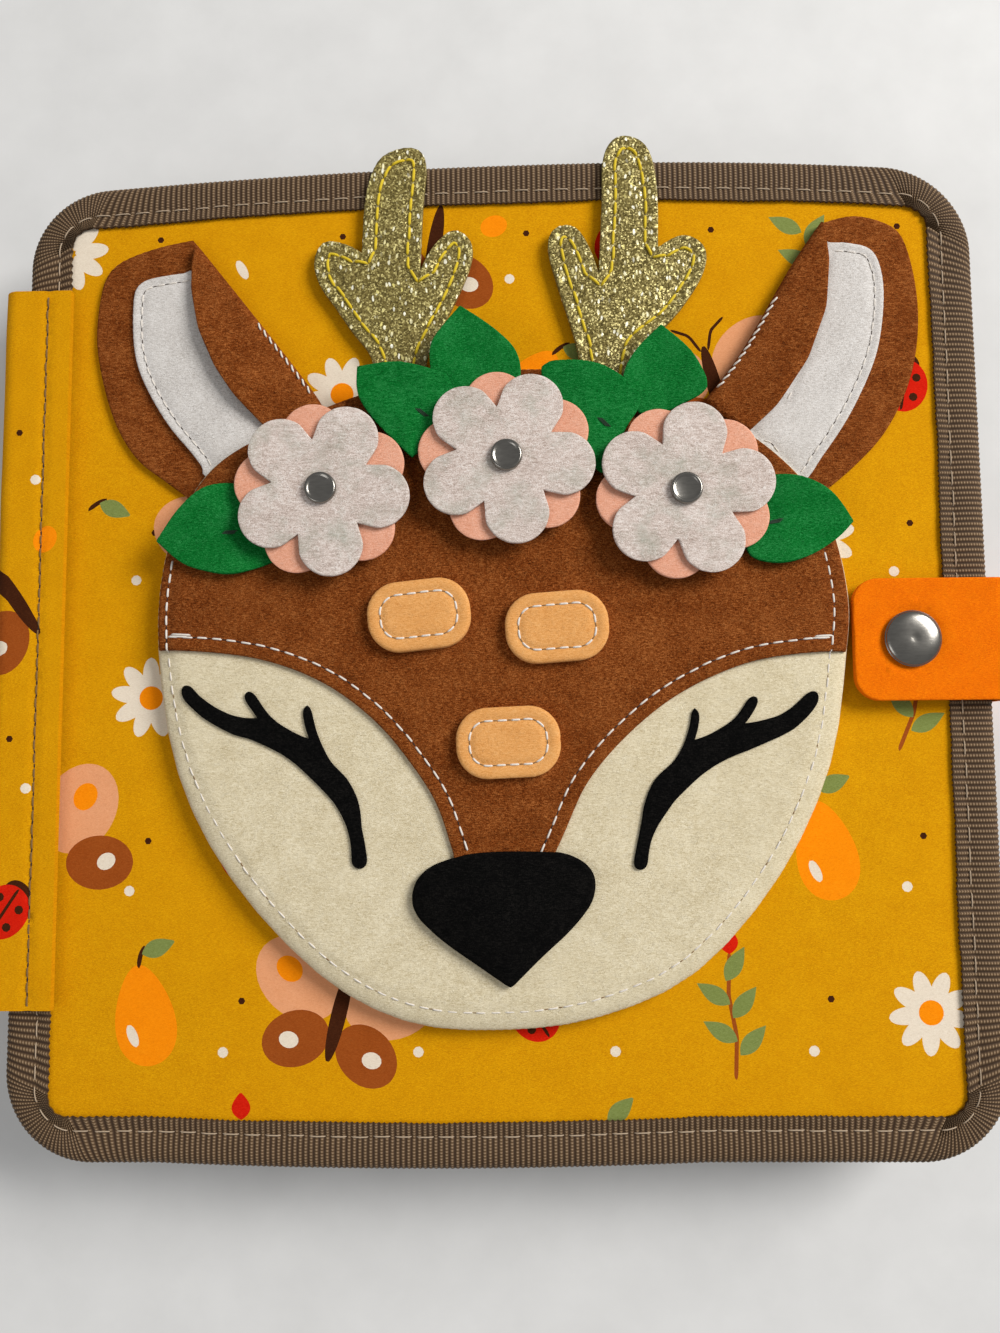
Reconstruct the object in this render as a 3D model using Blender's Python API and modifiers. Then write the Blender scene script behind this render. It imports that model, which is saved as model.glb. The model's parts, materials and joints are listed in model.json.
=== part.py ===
"""A felt quiet book with an animal face on its cover, a closing strap and turning pages.

Units are metres and +Z is up. The book lies on its back cover. Its spine is at -X, its
fore-edge with the closing strap at +X, and the antlers of the face point to +Y.
The origin is at the middle of the bottom of the whole outer box.
"""

import math

import bmesh
import bpy
import numpy as np
from mathutils import Matrix

MM = 0.001

# Fits and gaps
FIT = 0.3 * MM            # space between two layers that lie on each other
HOLE_FIT = 0.3 * MM       # space round a pin in its hole
CUT_OVER = 2.0 * MM       # how far a cutter runs past what it cuts
PAGE_GAP = 1.0 * MM       # air between two closed leaves
WELD = 0.01 * MM          # points nearer than this are one point

# Covers, leaves and their ribbon bindings
COVER_W = 220.0 * MM
COVER_H = 223.0 * MM
COVER_R = 20.0 * MM
BIND_W = 10.5 * MM
BIND_R = 7.0 * MM
BIND_T = 0.6 * MM
SKIN_T = 0.7 * MM
CORE_T = 1.5 * MM
LINING_T = 1.0 * MM
LEAF_FELT_T = 1.2 * MM

# Spine strip, wrapped round the left edge from the front cover to the back cover
WRAP_T = 1.8 * MM         # the strip and the strap share a thickness, so the book lies level
SPINE_TOP = 85.0 * MM
SPINE_BOTTOM = -78.0 * MM
SPINE_WING = 10.5 * MM
SPINE_BOW = 3.0 * MM
SPINE_BEND_R = 3.6 * MM
SPINE_SPLIT = 0.3 * MM    # space between the strip's parts at each hinge line
SPINE_TAB_T = 1.4 * MM
HINGE_OUT = 0.3 * MM      # the hinge lines lie this far outside the cloth

# Closing strap with its press stud
STRAP_W = 27.0 * MM
STRAP_Y = 1.5 * MM
STRAP_R = 5.5 * MM
STRAP_BOW = 1.0 * MM
STRAP_SPLIT = 0.3 * MM
STRAP_TO_HEAD = 0.8 * MM
SNAP_TO_BINDING = 3.8 * MM  # from the press stud's base to the ribbon
ANCHOR_L = 30.0 * MM
SNAP_IN = 12.6 * MM       # from the strap's free end to the middle of the press stud
SNAP_CAP_R = 6.2 * MM
SNAP_CAP_T = 1.5 * MM
SNAP_DIMPLE_R = 1.4 * MM
SNAP_DIMPLE_DEPTH = 0.4 * MM
SNAP_RIM_T = 0.4 * MM
SNAP_SHANK_R = 1.5 * MM
SOCKET_R = 5.2 * MM
SOCKET_T = 1.2 * MM
STUD_BASE_R = 5.0 * MM
STUD_BASE_T = 0.6 * MM
STUD_KNOB_R = 2.0 * MM
STUD_KNOB_H = 0.9 * MM
STUD_POST_R = 1.2 * MM
WASHER_R = 5.0 * MM
WASHER_T = 0.5 * MM

# Head, mask and what lies on them
HEAD_TO_LEFT = 23.2 * MM  # these three: from the head to the ribbon's inner edge
HEAD_TO_TOP = 36.85 * MM
HEAD_TO_BOTTOM = 18.85 * MM
HEAD_T = 2.5 * MM
BACKING_INSET = 9.0 * MM
MASK_INSET = 1.2 * MM
MASK_T = 1.3 * MM
NOSE_T = 2.5 * MM
NOSE_SOFT = 0.7 * MM
LASH_T = 0.6 * MM
SPOT_T = 1.7 * MM
SPOT_SOFT = 0.5 * MM

# Ears: a brown felt ear, folded over a white inner piece along its inner side
EAR_FELT_T = 1.2 * MM
EAR_INNER_T = 0.8 * MM
EAR_LEFT_TO_SIDE = 6.6 * MM   # from an ear to the ribbon beside it and above it
EAR_LEFT_TO_TOP = 3.6 * MM
EAR_RIGHT_TO_SIDE = 3.3 * MM
EAR_RIGHT_TO_TOP = 0.7 * MM

# Antlers of glitter sheet
ANTLER_T = 1.4 * MM

# Green leaves and spinning flowers
GREEN_T = 0.8 * MM
PETAL_T = 1.0 * MM
PETALS = 5
RIVET_CAP_R = 3.5 * MM
RIVET_CAP_T = 0.9 * MM
RIVET_EDGE = 0.3 * MM
RIVET_SHANK_R = 1.5 * MM
RIVET_FOOT_R = 3.0 * MM
RIVET_FOOT_T = 0.8 * MM

# Clock page on the first leaf
DIAL_R = 72.0 * MM
DIAL_T = 1.2 * MM
DIAL_Y = 0.0 * MM
HAND_T = 1.0 * MM
HAND_W = 9.0 * MM
HAND_TIP_W = 17.0 * MM
HAND_TIP_L = 15.0 * MM
HOUR_L = 36.0 * MM
MINUTE_L = 54.0 * MM

# Smoothness: how many straight pieces stand in for a curve
CURVE_STEPS = 3
CORNER_STEPS = 6
HOLE_SIDES = 12
TURN_STEPS = 18
PETAL_STEPS = 8
DIAL_SIDES = 48

# Where the cover's square corners lie in the photograph, which the outlines below are read in
COVER_CORNERS_PX = ((30, 187), (969, 168), (1021, 1167), (-1, 1167))

HEAD_PX = ((522, 366), (430, 376), (358, 392), (290, 420), (223, 455), (187, 497), (162, 560),
           (156, 650), (176, 774), (229, 879), (317, 975), (405, 1023), (500, 1032), (600, 1019),
           (699, 973), (783, 875), (833, 764), (849, 650), (850, 590), (828, 510), (776, 449),
           (700, 403), (600, 372))
MUZZLE_PX = ((157, 649), (214, 652), (268, 661), (325, 684), (375, 722), (413, 768), (440, 814),
             (456, 885), (555, 885), (573, 810), (600, 764), (645, 718), (691, 686), (750, 661),
             (806, 652), (848, 650))
NOSE_PX = ((428, 871), (452, 861), (480, 855), (534, 854), (567, 857), (590, 873), (590, 900),
           (570, 928), (540, 957), (510, 988), (480, 967), (440, 938), (416, 912), (415, 888))
NOSE_CORNERS_PX = ((510, 988),)
LASH_PX = ((180, 688), (195, 692), (218, 709), (254, 719), (245, 699), (251, 691), (268, 717),
           (306, 740), (303, 710), (311, 712), (316, 734), (342, 772), (356, 795), (364, 845),
           (362, 868), (351, 860), (339, 814), (321, 791), (298, 770), (249, 742), (195, 715))
LASH_CORNERS_PX = ((254, 719), (306, 740), (311, 712))

EAR_LEFT_PX = ((192, 240), (149, 250), (109, 271), (97, 318), (98, 362), (113, 420), (135, 458),
               (161, 479), (190, 500), (225, 488), (268, 462), (325, 412), (313, 393),
               (276, 345), (225, 281))
EAR_LEFT_INNER_PX = ((190, 274), (169, 275), (138, 283), (132, 306), (133, 349), (142, 381),
                     (165, 422), (190, 452), (214, 478), (243, 462), (258, 440), (242, 385),
                     (215, 320), (204, 290))
FLAP_EDGE_LEFT_PX = ((196, 232), (191, 262), (191, 290), (199, 331), (215, 368), (233, 395),
                     (262, 425), (300, 455))
EAR_RIGHT_PX = ((819, 219), (851, 211), (883, 218), (902, 234), (915, 283), (917, 334),
                (907, 385), (883, 433), (851, 468), (825, 490), (800, 490), (752, 447),
                (700, 402), (711, 390), (742, 347), (787, 267))
EAR_RIGHT_INNER_PX = ((829, 244), (851, 243), (873, 250), (883, 283), (881, 328), (872, 366),
                      (848, 417), (819, 460), (803, 480), (775, 455), (767, 436), (787, 390),
                      (807, 330), (818, 280))
FLAP_EDGE_RIGHT_PX = ((822, 210), (828, 258), (824, 309), (806, 360), (777, 404), (752, 427),
                      (722, 452))
EAR_LEFT_CORNERS_PX = ((192, 240), (190, 500), (325, 412))
EAR_RIGHT_CORNERS_PX = ((819, 219), (825, 490), (700, 402))

ANTLER_LEFT_PX = ((372, 405), (372, 360), (351, 331), (334, 306), (319, 285), (313, 262),
                  (323, 241), (348, 245), (361, 253), (364, 200), (372, 170), (384, 154),
                  (410, 147), (425, 160), (422, 206), (419, 270), (432, 246), (453, 229),
                  (471, 243), (468, 270), (447, 316), (427, 356), (424, 400))
ANTLER_LEFT_CORNERS_PX = ((372, 405), (361, 253), (419, 270), (424, 400))
ANTLER_RIGHT_PX = ((583, 412), (579, 361), (571, 329), (560, 295), (547, 250), (553, 228),
                   (574, 226), (589, 248), (598, 273), (601, 200), (602, 157), (616, 136),
                   (640, 140), (652, 161), (657, 200), (657, 247), (682, 234), (704, 246),
                   (703, 272), (682, 306), (662, 328), (636, 351), (630, 408))
ANTLER_RIGHT_CORNERS_PX = ((583, 412), (598, 273), (657, 247), (630, 408))

# Green leaves: their outlines and corners, and which of them lie on the others
GREEN_LEAVES_PX = (
    ((155, 541), (179, 508), (204, 487), (238, 483), (290, 495), (290, 545), (271, 562),
     (233, 574), (204, 571), (179, 562)),
    ((356, 366), (399, 362), (446, 374), (455, 398), (446, 425), (411, 457), (376, 423),
     (357, 395)),
    ((459, 305), (440, 328), (429, 350), (434, 385), (455, 405), (500, 400), (519, 380),
     (515, 351), (488, 325)),
    ((540, 376), (550, 361), (580, 361), (605, 367), (630, 383), (640, 402), (624, 430),
     (612, 471), (598, 471), (575, 440)),
    ((660, 324), (637, 347), (622, 374), (626, 402), (650, 416), (680, 404), (706, 388),
     (697, 362), (682, 343)),
    ((853, 521), (838, 500), (819, 484), (787, 474), (752, 482), (744, 530), (750, 556),
     (781, 563), (812, 554), (838, 537)),
)
GREEN_CORNERS_PX = ((155, 541), (356, 366), (446, 374), (411, 457), (459, 305), (550, 361),
                    (612, 471), (660, 324), (853, 521))
GREEN_RAISED = (False, True, False, True, False, False)

# Widths and heights, as shares of the head's
MUZZLE_SIZE_SHARES = (0.984, 0.353)
NOSE_SIZE_SHARES = (0.245, 0.189)
LASH_SIZE_SHARES = (0.265, 0.270)
SPOT_SIZE_SHARES = (0.152, 0.1135)
EAR_LEFT_SIZE_SHARES = (0.348, 0.423)
EAR_RIGHT_SIZE_SHARES = (0.324, 0.4415)
ANTLER_LEFT_SIZE_SHARES = (0.239, 0.4225)
ANTLER_RIGHT_SIZE_SHARES = (0.235, 0.450)
GREEN_SIZE_SHARES = ((0.195, 0.139), (0.143, 0.148), (0.131, 0.157), (0.143, 0.172),
                     (0.120, 0.1435), (0.154, 0.135))
FLOWER_REACH_SHARE = 0.1282
FLOWER_NOTCH_SHARE = 0.0716

# Widths and heights of an ear's inner piece and of its flap's edge, as shares of the ear's,
# and the way from the ear's middle to theirs, as shares of the same
EAR_LEFT_INNER_SIZE_SHARES = (0.556, 0.782)
EAR_LEFT_INNER_AT_SHARES = (-0.060, -0.033)
FLAP_EDGE_LEFT_SIZE_SHARES = (0.481, 0.858)
FLAP_EDGE_LEFT_AT_SHARES = (0.165, 0.080)
EAR_RIGHT_INNER_SIZE_SHARES = (0.550, 0.854)
EAR_RIGHT_INNER_AT_SHARES = (0.069, -0.040)
FLAP_EDGE_RIGHT_SIZE_SHARES = (0.506, 0.870)
FLAP_EDGE_RIGHT_AT_SHARES = (-0.163, 0.065)

# Places on the head, as shares of half its width and height
NOSE_AT_SHARES = (0.000, -0.674)
MUZZLE_AT_SHARES = (-0.001, -0.221)
LASH_LEFT_AT_SHARES = (-0.655, -0.254)
LASH_RIGHT_AT_SHARES = (0.645, -0.258)
SPOTS_AT_SHARES = ((-0.232, 0.227), (0.160, 0.186), (0.020, -0.156))
GREEN_AT_SHARES = ((-0.797, 0.495), (-0.268, 0.851), (-0.07, 1.025), (0.265, 0.823),
                   (0.480, 0.968), (0.852, 0.504))
SPOTS_TURN = (8.0, 3.0, 3.0)
FLOWERS_AT_SHARES = ((-0.508, 0.602), (0.020, 0.694), (0.526, 0.586))
FLOWERS_TURN = (-8.0, -8.0, 8.0)
ANTLER_LEFT_AT_SHARES = (-0.318, 1.320)
ANTLER_RIGHT_AT_SHARES = (0.384, 1.315)
HANDS_TURN = (60.0, -60.0)

# Heights of the stack, bottom to top
COVER_T = 2 * BIND_T + 4 * FIT + SKIN_T + CORE_T + LINING_T
LEAF_T = 2 * BIND_T + 3 * FIT + 2 * LEAF_FELT_T
CLOCK_STACK = 5 * FIT + DIAL_T + 2 * HAND_T + RIVET_CAP_T
CLOCK_GAP = CLOCK_STACK + FIT - 2 * (BIND_T + FIT)
BACK_Z = WRAP_T + FIT
LEAF_2_Z = BACK_Z + COVER_T + PAGE_GAP
LEAF_1_Z = LEAF_2_Z + LEAF_T + PAGE_GAP
FRONT_Z = LEAF_1_Z + LEAF_T + CLOCK_GAP
FRONT_TOP = FRONT_Z + COVER_T
PANEL_TOP = FRONT_TOP - BIND_T - FIT
WING_Z = FRONT_TOP + FIT
HINGE_BACK_Z = LEAF_2_Z - PAGE_GAP / 2
HINGE_LEAF_Z = LEAF_1_Z - PAGE_GAP / 2
HINGE_FRONT_Z = FRONT_Z - CLOCK_GAP / 2

# Heights of the layers on the front cover
EAR_Z = PANEL_TOP + FIT
EAR_INNER_Z = EAR_Z + EAR_FELT_T + FIT
FLAP_Z = EAR_INNER_Z + EAR_INNER_T + FIT
ANTLER_Z = FRONT_TOP + FIT
HEAD_Z = max(FLAP_Z, ANTLER_Z + ANTLER_T + FIT)
HEAD_TOP = HEAD_Z + HEAD_T
MASK_Z = HEAD_TOP + FIT
MASK_TOP = MASK_Z + MASK_T
GREEN_Z = MASK_TOP + FIT
GREEN_RAISED_Z = GREEN_Z + GREEN_T + FIT
PETAL_LOW_Z = GREEN_RAISED_Z + GREEN_T + FIT
PETAL_HIGH_Z = PETAL_LOW_Z + PETAL_T + FIT
RIVET_CAP_Z = PETAL_HIGH_Z + PETAL_T + FIT
STUD_Z = PANEL_TOP + FIT
SOCKET_Z = STUD_Z + STUD_BASE_T + FIT
STRAP_Z = SOCKET_Z + SOCKET_T + FIT
STRAP_TOP = STRAP_Z + WRAP_T
SNAP_CAP_Z = STRAP_TOP + FIT

# Places along X and Y, with the cover's middle at zero
LEFT = -COVER_W / 2
RIGHT = COVER_W / 2
WINDOW_RIGHT = RIGHT - BIND_W
WINDOW_TOP = COVER_H / 2 - BIND_W
WEB_IN = LEFT - SPINE_BOW
WEB_OUT = WEB_IN - WRAP_T
HINGE_X = WEB_OUT - HINGE_OUT
STRAP_IN = RIGHT + STRAP_BOW
STRAP_OUT = STRAP_IN + WRAP_T
SNAP_AT = (WINDOW_RIGHT - SNAP_TO_BINDING - STUD_BASE_R, STRAP_Y)
STRAP_END = SNAP_AT[0] - SNAP_IN
HEAD_LEFT = -WINDOW_RIGHT + HEAD_TO_LEFT
HEAD_RIGHT = STRAP_END - STRAP_TO_HEAD
HEAD_W = HEAD_RIGHT - HEAD_LEFT
HEAD_H = 2 * WINDOW_TOP - HEAD_TO_TOP - HEAD_TO_BOTTOM
HEAD_X = (HEAD_LEFT + HEAD_RIGHT) / 2
HEAD_Y = (HEAD_TO_BOTTOM - HEAD_TO_TOP) / 2
ANTLER_TOP = HEAD_Y + HEAD_H * (ANTLER_RIGHT_AT_SHARES[1] + ANTLER_RIGHT_SIZE_SHARES[1]) / 2
FLOWER_REACH = FLOWER_REACH_SHARE * HEAD_W
FLOWER_NOTCH = FLOWER_NOTCH_SHARE * HEAD_W
SHIFT_X = -(WEB_OUT + STRAP_OUT) / 2
SHIFT_Y = -(ANTLER_TOP - COVER_H / 2) / 2


def clear_scene():
    for item in list(bpy.data.objects):
        bpy.data.objects.remove(item)


def new_collection(name):
    group = bpy.data.collections.new(name)
    bpy.context.scene.collection.children.link(group)
    return group


def new_material(name, colour, roughness, metallic=0.0):
    material = bpy.data.materials.new(name)
    material.use_nodes = True
    shader = material.node_tree.nodes["Principled BSDF"]
    shader.inputs["Base Color"].default_value = (*colour, 1.0)
    shader.inputs["Roughness"].default_value = roughness
    shader.inputs["Metallic"].default_value = metallic
    return material


def unwarp(points_px):
    """Takes the photograph's perspective out: the cover becomes a square from -1 to 1."""
    square = ((-1, 1), (1, 1), (1, -1), (-1, -1))
    rows = []
    answers = []
    for (px, py), (x, y) in zip(COVER_CORNERS_PX, square):
        rows.append([px, py, 1, 0, 0, 0, -x * px, -x * py])
        rows.append([0, 0, 0, px, py, 1, -y * px, -y * py])
        answers += [x, y]
    a = np.append(np.linalg.solve(np.array(rows, float), np.array(answers, float)), 1.0)
    flat = a.reshape(3, 3) @ np.vstack([np.array(points_px, float).T, np.ones(len(points_px))])
    return (flat[:2] / flat[2]).T


def fitted(points_px, centre, width, height, mirror=False):
    """An outline read in the photograph, fitted to a real width and height round a place."""
    flat = unwarp(points_px)
    low = flat.min(axis=0)
    high = flat.max(axis=0)
    share = (flat - (low + high) / 2) / (high - low)
    if mirror:
        share = share[::-1] * np.array([-1, 1])
    return [(centre[0] + x * width, centre[1] + y * height) for x, y in share]


def corner_numbers(points_px, corners_px):
    return [i for i, point in enumerate(points_px) if point in corners_px]


def smooth_loop(points, corners=(), steps=CURVE_STEPS):
    """A closed curve through the points, with the numbered ones kept as corners."""
    count = len(points)
    loop = []
    for i in range(count):
        p0, p1, p2, p3 = (np.array(points[(i + k) % count]) for k in (-1, 0, 1, 2))
        if i in corners:
            p0 = p1
        if (i + 1) % count in corners:
            p3 = p2
        for step in range(steps):
            t = step / steps
            at = (2 * p1 + (p2 - p0) * t + (2 * p0 - 5 * p1 + 4 * p2 - p3) * t ** 2
                  + (3 * p1 - p0 - 3 * p2 + p3) * t ** 3) / 2
            loop.append((float(at[0]), float(at[1])))
    return loop


def circle(centre, radius, sides=HOLE_SIDES):
    turns = [math.tau * i / sides for i in range(sides)]
    return [(centre[0] + radius * math.cos(a), centre[1] + radius * math.sin(a)) for a in turns]


def rounded_box(left, right, bottom, top, radii):
    """A box outline whose corners, from the lower left anticlockwise, have these radii."""
    loop = []
    corners = ((left, bottom, 1, 1), (right, bottom, -1, 1), (right, top, -1, -1),
               (left, top, 1, -1))
    for turn, ((x, y, to_x, to_y), radius) in enumerate(zip(corners, radii)):
        if radius == 0:
            loop.append((x, y))
            continue
        for step in range(CORNER_STEPS + 1):
            angle = math.pi * (1 + turn / 2 + step / CORNER_STEPS / 2)
            loop.append((x + to_x * radius + radius * math.cos(angle),
                         y + to_y * radius + radius * math.sin(angle)))
    return loop


def page_outline(inset, radius):
    half_w = COVER_W / 2 - inset
    half_h = COVER_H / 2 - inset
    return rounded_box(-half_w, half_w, -half_h, half_h, [radius] * 4)


def pill(centre, length, width, turn):
    """A rounded oblong, between an ellipse and a box."""
    loop = []
    squareness = 0.8
    tilt = math.radians(turn)
    for i in range(CURVE_STEPS * 10):
        a = math.tau * i / (CURVE_STEPS * 10)
        x = math.copysign(abs(math.cos(a)) ** squareness, math.cos(a)) * length / 2
        y = math.copysign(abs(math.sin(a)) ** squareness, math.sin(a)) * width / 2
        loop.append((centre[0] + x * math.cos(tilt) - y * math.sin(tilt),
                     centre[1] + x * math.sin(tilt) + y * math.cos(tilt)))
    return loop


def rosette(turn):
    """Round petals whose tips reach FLOWER_REACH and which meet at FLOWER_NOTCH."""
    half = math.pi / PETALS
    out = ((FLOWER_REACH ** 2 - FLOWER_NOTCH ** 2)
           / (2 * (FLOWER_REACH - FLOWER_NOTCH * math.cos(half))))
    radius = FLOWER_REACH - out
    loop = []
    for petal in range(PETALS):
        for step in range(PETAL_STEPS):
            side = -half + 2 * half * step / PETAL_STEPS
            reach = (out * math.cos(side)
                     + math.sqrt(max(0, radius ** 2 - (out * math.sin(side)) ** 2)))
            angle = math.radians(turn) + 2 * half * petal + side
            loop.append((reach * math.cos(angle), reach * math.sin(angle)))
    return loop


def on_head(share):
    return (HEAD_X + share[0] * HEAD_W / 2, HEAD_Y + share[1] * HEAD_H / 2)


def drawn_on_head(points_px, at_shares, size_shares, corners_px=(), room=0):
    """A closed curve whose place and size are shares of the head's, widened by the room."""
    points = fitted(points_px, on_head(at_shares), HEAD_W * size_shares[0] + 2 * room,
                    HEAD_H * size_shares[1] + 2 * room)
    return smooth_loop(points, corner_numbers(points_px, corners_px))


def head_outline(inset):
    """The head's outline, drawn in on every side by the inset."""
    return smooth_loop(fitted(HEAD_PX, (HEAD_X, HEAD_Y), HEAD_W - 2 * inset, HEAD_H - 2 * inset))


def flat_piece(name, loops, bottom, thickness, material, group, at=(0, 0)):
    """A flat sheet cut to an outline; any further loops are its holes."""
    shape = bpy.data.curves.new(name, "CURVE")
    shape.dimensions = "2D"
    shape.fill_mode = "BOTH"
    shape.extrude = thickness / 2
    for loop in loops:
        spline = shape.splines.new("POLY")
        spline.points.add(len(loop) - 1)
        for point, (x, y) in zip(spline.points, loop):
            point.co = (x, y, 0, 1)
        spline.use_cyclic_u = True
    shape.materials.append(material)
    piece = bpy.data.objects.new(name, shape)
    piece.location = (SHIFT_X + at[0], SHIFT_Y + at[1], bottom + thickness / 2)
    group.objects.link(piece)
    return piece


def as_mesh(piece, group):
    """The same piece as a mesh with its caps welded on, so that it can be cut or cut others."""
    bpy.context.view_layer.update()
    depsgraph = bpy.context.evaluated_depsgraph_get()
    mesh = bpy.data.meshes.new_from_object(piece.evaluated_get(depsgraph))
    work = bmesh.new()
    work.from_mesh(mesh)
    bmesh.ops.remove_doubles(work, verts=work.verts, dist=WELD)
    bmesh.ops.recalc_face_normals(work, faces=work.faces)
    work.to_mesh(mesh)
    work.free()
    name = piece.name
    place = piece.matrix_world.copy()
    bpy.data.objects.remove(piece)
    solid = bpy.data.objects.new(name, mesh)
    solid.matrix_world = place
    group.objects.link(solid)
    return solid


def slab(name, loops, bottom, thickness, material, group):
    return as_mesh(flat_piece(name, loops, bottom, thickness, material, group), group)


def cutter(name, loop, bottom, top):
    tool = slab(name, [loop], bottom, top - bottom, FELT_BROWN, CUTTERS)
    tool.hide_render = True
    tool.display_type = "WIRE"
    return tool


def combine(piece, tool, operation):
    modifier = piece.modifiers.new(operation.title() + " " + tool.name, "BOOLEAN")
    modifier.operation = operation
    modifier.solver = "EXACT"
    modifier.object = tool


def turned(name, profile, at, material, group):
    """A round piece from a profile of (radius, height) points, from its top down its outside."""
    mesh = bpy.data.meshes.new(name)
    points = [(radius, 0, height) for radius, height in profile]
    closed = profile[0][0] > 0
    edges = [(i, i + 1) for i in range(len(points) - 1)]
    if closed:
        edges.append((len(points) - 1, 0))
    mesh.from_pydata(points, edges, [])
    mesh.materials.append(material)
    piece = bpy.data.objects.new(name, mesh)
    piece.location = (SHIFT_X + at[0], SHIFT_Y + at[1], 0)
    group.objects.link(piece)
    turn = piece.modifiers.new("Turn", "SCREW")
    turn.steps = TURN_STEPS
    turn.render_steps = TURN_STEPS
    turn.use_merge_vertices = True
    turn.merge_threshold = WELD
    turn.use_smooth_shade = True
    return piece


def section_piece(name, outline, middle_y, length, material, group):
    """A section drawn across the spine in X and Z, run along the spine."""
    piece = flat_piece(name, [outline], 0, length, material, group)
    piece.matrix_world = (Matrix.Translation((SHIFT_X, SHIFT_Y + middle_y, 0))
                          @ Matrix.Rotation(math.radians(90), 4, "X"))
    return piece


def soften(piece, width):
    weld = piece.modifiers.new("Weld", "WELD")
    weld.merge_threshold = WELD
    edge = piece.modifiers.new("Soft edge", "BEVEL")
    edge.width = width
    edge.segments = 2
    edge.limit_method = "ANGLE"
    edge.angle_limit = math.radians(50)


def joint_empty(name, x, y, z, parent=None):
    pivot = bpy.data.objects.new(name, None)
    BOOK.objects.link(pivot)
    pivot.empty_display_size = COVER_W / 10
    place = Matrix.Translation((SHIFT_X + x, SHIFT_Y + y, z))
    if parent:
        pivot.parent = parent
        pivot.matrix_parent_inverse = parent.matrix_world.inverted()
    pivot.matrix_world = place
    bpy.context.view_layer.update()
    return pivot


def carry(pivot, pieces):
    """Hangs pieces on a joint's pivot where they are."""
    bpy.context.view_layer.update()
    for piece in pieces:
        place = piece.matrix_world.copy()
        piece.parent = pivot
        piece.matrix_parent_inverse = pivot.matrix_world.inverted()
        piece.matrix_world = place


def binding(name, bottom, thickness):
    """Ribbon folded over the edge of a page: a frame with a groove that takes the page."""
    piece = slab(name, [page_outline(0, COVER_R)], bottom, thickness, RIBBON, BOOK)
    window = cutter(name + "_window", page_outline(BIND_W, BIND_R), bottom - CUT_OVER,
                    bottom + thickness + CUT_OVER)
    groove = cutter(name + "_groove", page_outline(BIND_T, COVER_R - BIND_T), bottom + BIND_T,
                    bottom + thickness - BIND_T)
    combine(piece, window, "DIFFERENCE")
    combine(piece, groove, "DIFFERENCE")
    return piece


def page_layer(name, bottom, thickness, material, holes=()):
    inset = BIND_T + FIT
    loops = [page_outline(inset, COVER_R - inset), *holes]
    return flat_piece(name, loops, bottom, thickness, material, BOOK)


def spine_corner(centre_x, centre_z, radius, start, end):
    """The points of a quarter bend of the spine cloth, between two angles in quarter turns."""
    points = []
    for step in range(CORNER_STEPS + 1):
        angle = math.pi / 2 * (start + (end - start) * step / CORNER_STEPS)
        points.append((centre_x + radius * math.cos(angle), centre_z + radius * math.sin(angle)))
    return points


def spine_l(name, bottom, top, fold_at_top):
    """The strip's part on a cover: a wing on the cover and a web down the book's edge."""
    wing_end = LEFT + SPINE_WING
    inner_r = SPINE_BEND_R - WRAP_T
    bend_x = WEB_OUT + SPINE_BEND_R
    if fold_at_top:
        bend_z = top - SPINE_BEND_R
        outer = spine_corner(bend_x, bend_z, SPINE_BEND_R, 2, 1)
        inner = spine_corner(bend_x, bend_z, inner_r, 1, 2)
        outline = ([(WEB_OUT, bottom)] + outer + [(wing_end, top), (wing_end, top - WRAP_T)]
                   + inner + [(WEB_IN, bottom)])
    else:
        bend_z = bottom + SPINE_BEND_R
        outer = spine_corner(bend_x, bend_z, SPINE_BEND_R, 3, 2)
        inner = spine_corner(bend_x, bend_z, inner_r, 2, 3)
        outline = ([(wing_end, bottom)] + outer + [(WEB_OUT, top), (WEB_IN, top)] + inner
                   + [(wing_end, bottom + WRAP_T)])
    return section_piece(name, outline, (SPINE_TOP + SPINE_BOTTOM) / 2, SPINE_TOP - SPINE_BOTTOM,
                         PRINTED, BOOK)


def spine_t(name, bottom, top, leaf_z):
    """The strip's part on a leaf: a web with a tab that is sewn to the leaf's edge."""
    tab_low = leaf_z + LEAF_T / 2 - SPINE_TAB_T / 2
    tab_high = tab_low + SPINE_TAB_T
    tab_end = LEFT - FIT
    outline = [(WEB_OUT, bottom), (WEB_IN, bottom), (WEB_IN, tab_low), (tab_end, tab_low),
               (tab_end, tab_high), (WEB_IN, tab_high), (WEB_IN, top), (WEB_OUT, top)]
    return section_piece(name, outline, (SPINE_TOP + SPINE_BOTTOM) / 2, SPINE_TOP - SPINE_BOTTOM,
                         PRINTED, BOOK)


def make_back_cover():
    lining_z = BACK_Z + COVER_T - BIND_T - FIT - LINING_T
    core_z = lining_z - FIT - CORE_T
    skin_z = core_z - FIT - SKIN_T
    page_layer("back_panel", skin_z, SKIN_T, PRINTED)
    page_layer("back_core", core_z, CORE_T, BOARD)
    page_layer("back_lining", lining_z, LINING_T, FELT_CREAM)
    binding("back_binding", BACK_Z, COVER_T)
    spine_l("spine_strip_back", 0, HINGE_BACK_Z - SPINE_SPLIT / 2, False)
    anchor_end = STRAP_OUT - WRAP_T - STRAP_SPLIT
    low = STRAP_Y - STRAP_W / 2
    high = STRAP_Y + STRAP_W / 2
    outline = rounded_box(anchor_end - ANCHOR_L, anchor_end, low, high, [STRAP_R, 0, 0, STRAP_R])
    flat_piece("strap_anchor", [outline], 0, WRAP_T, FELT_ORANGE, BOOK)


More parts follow.
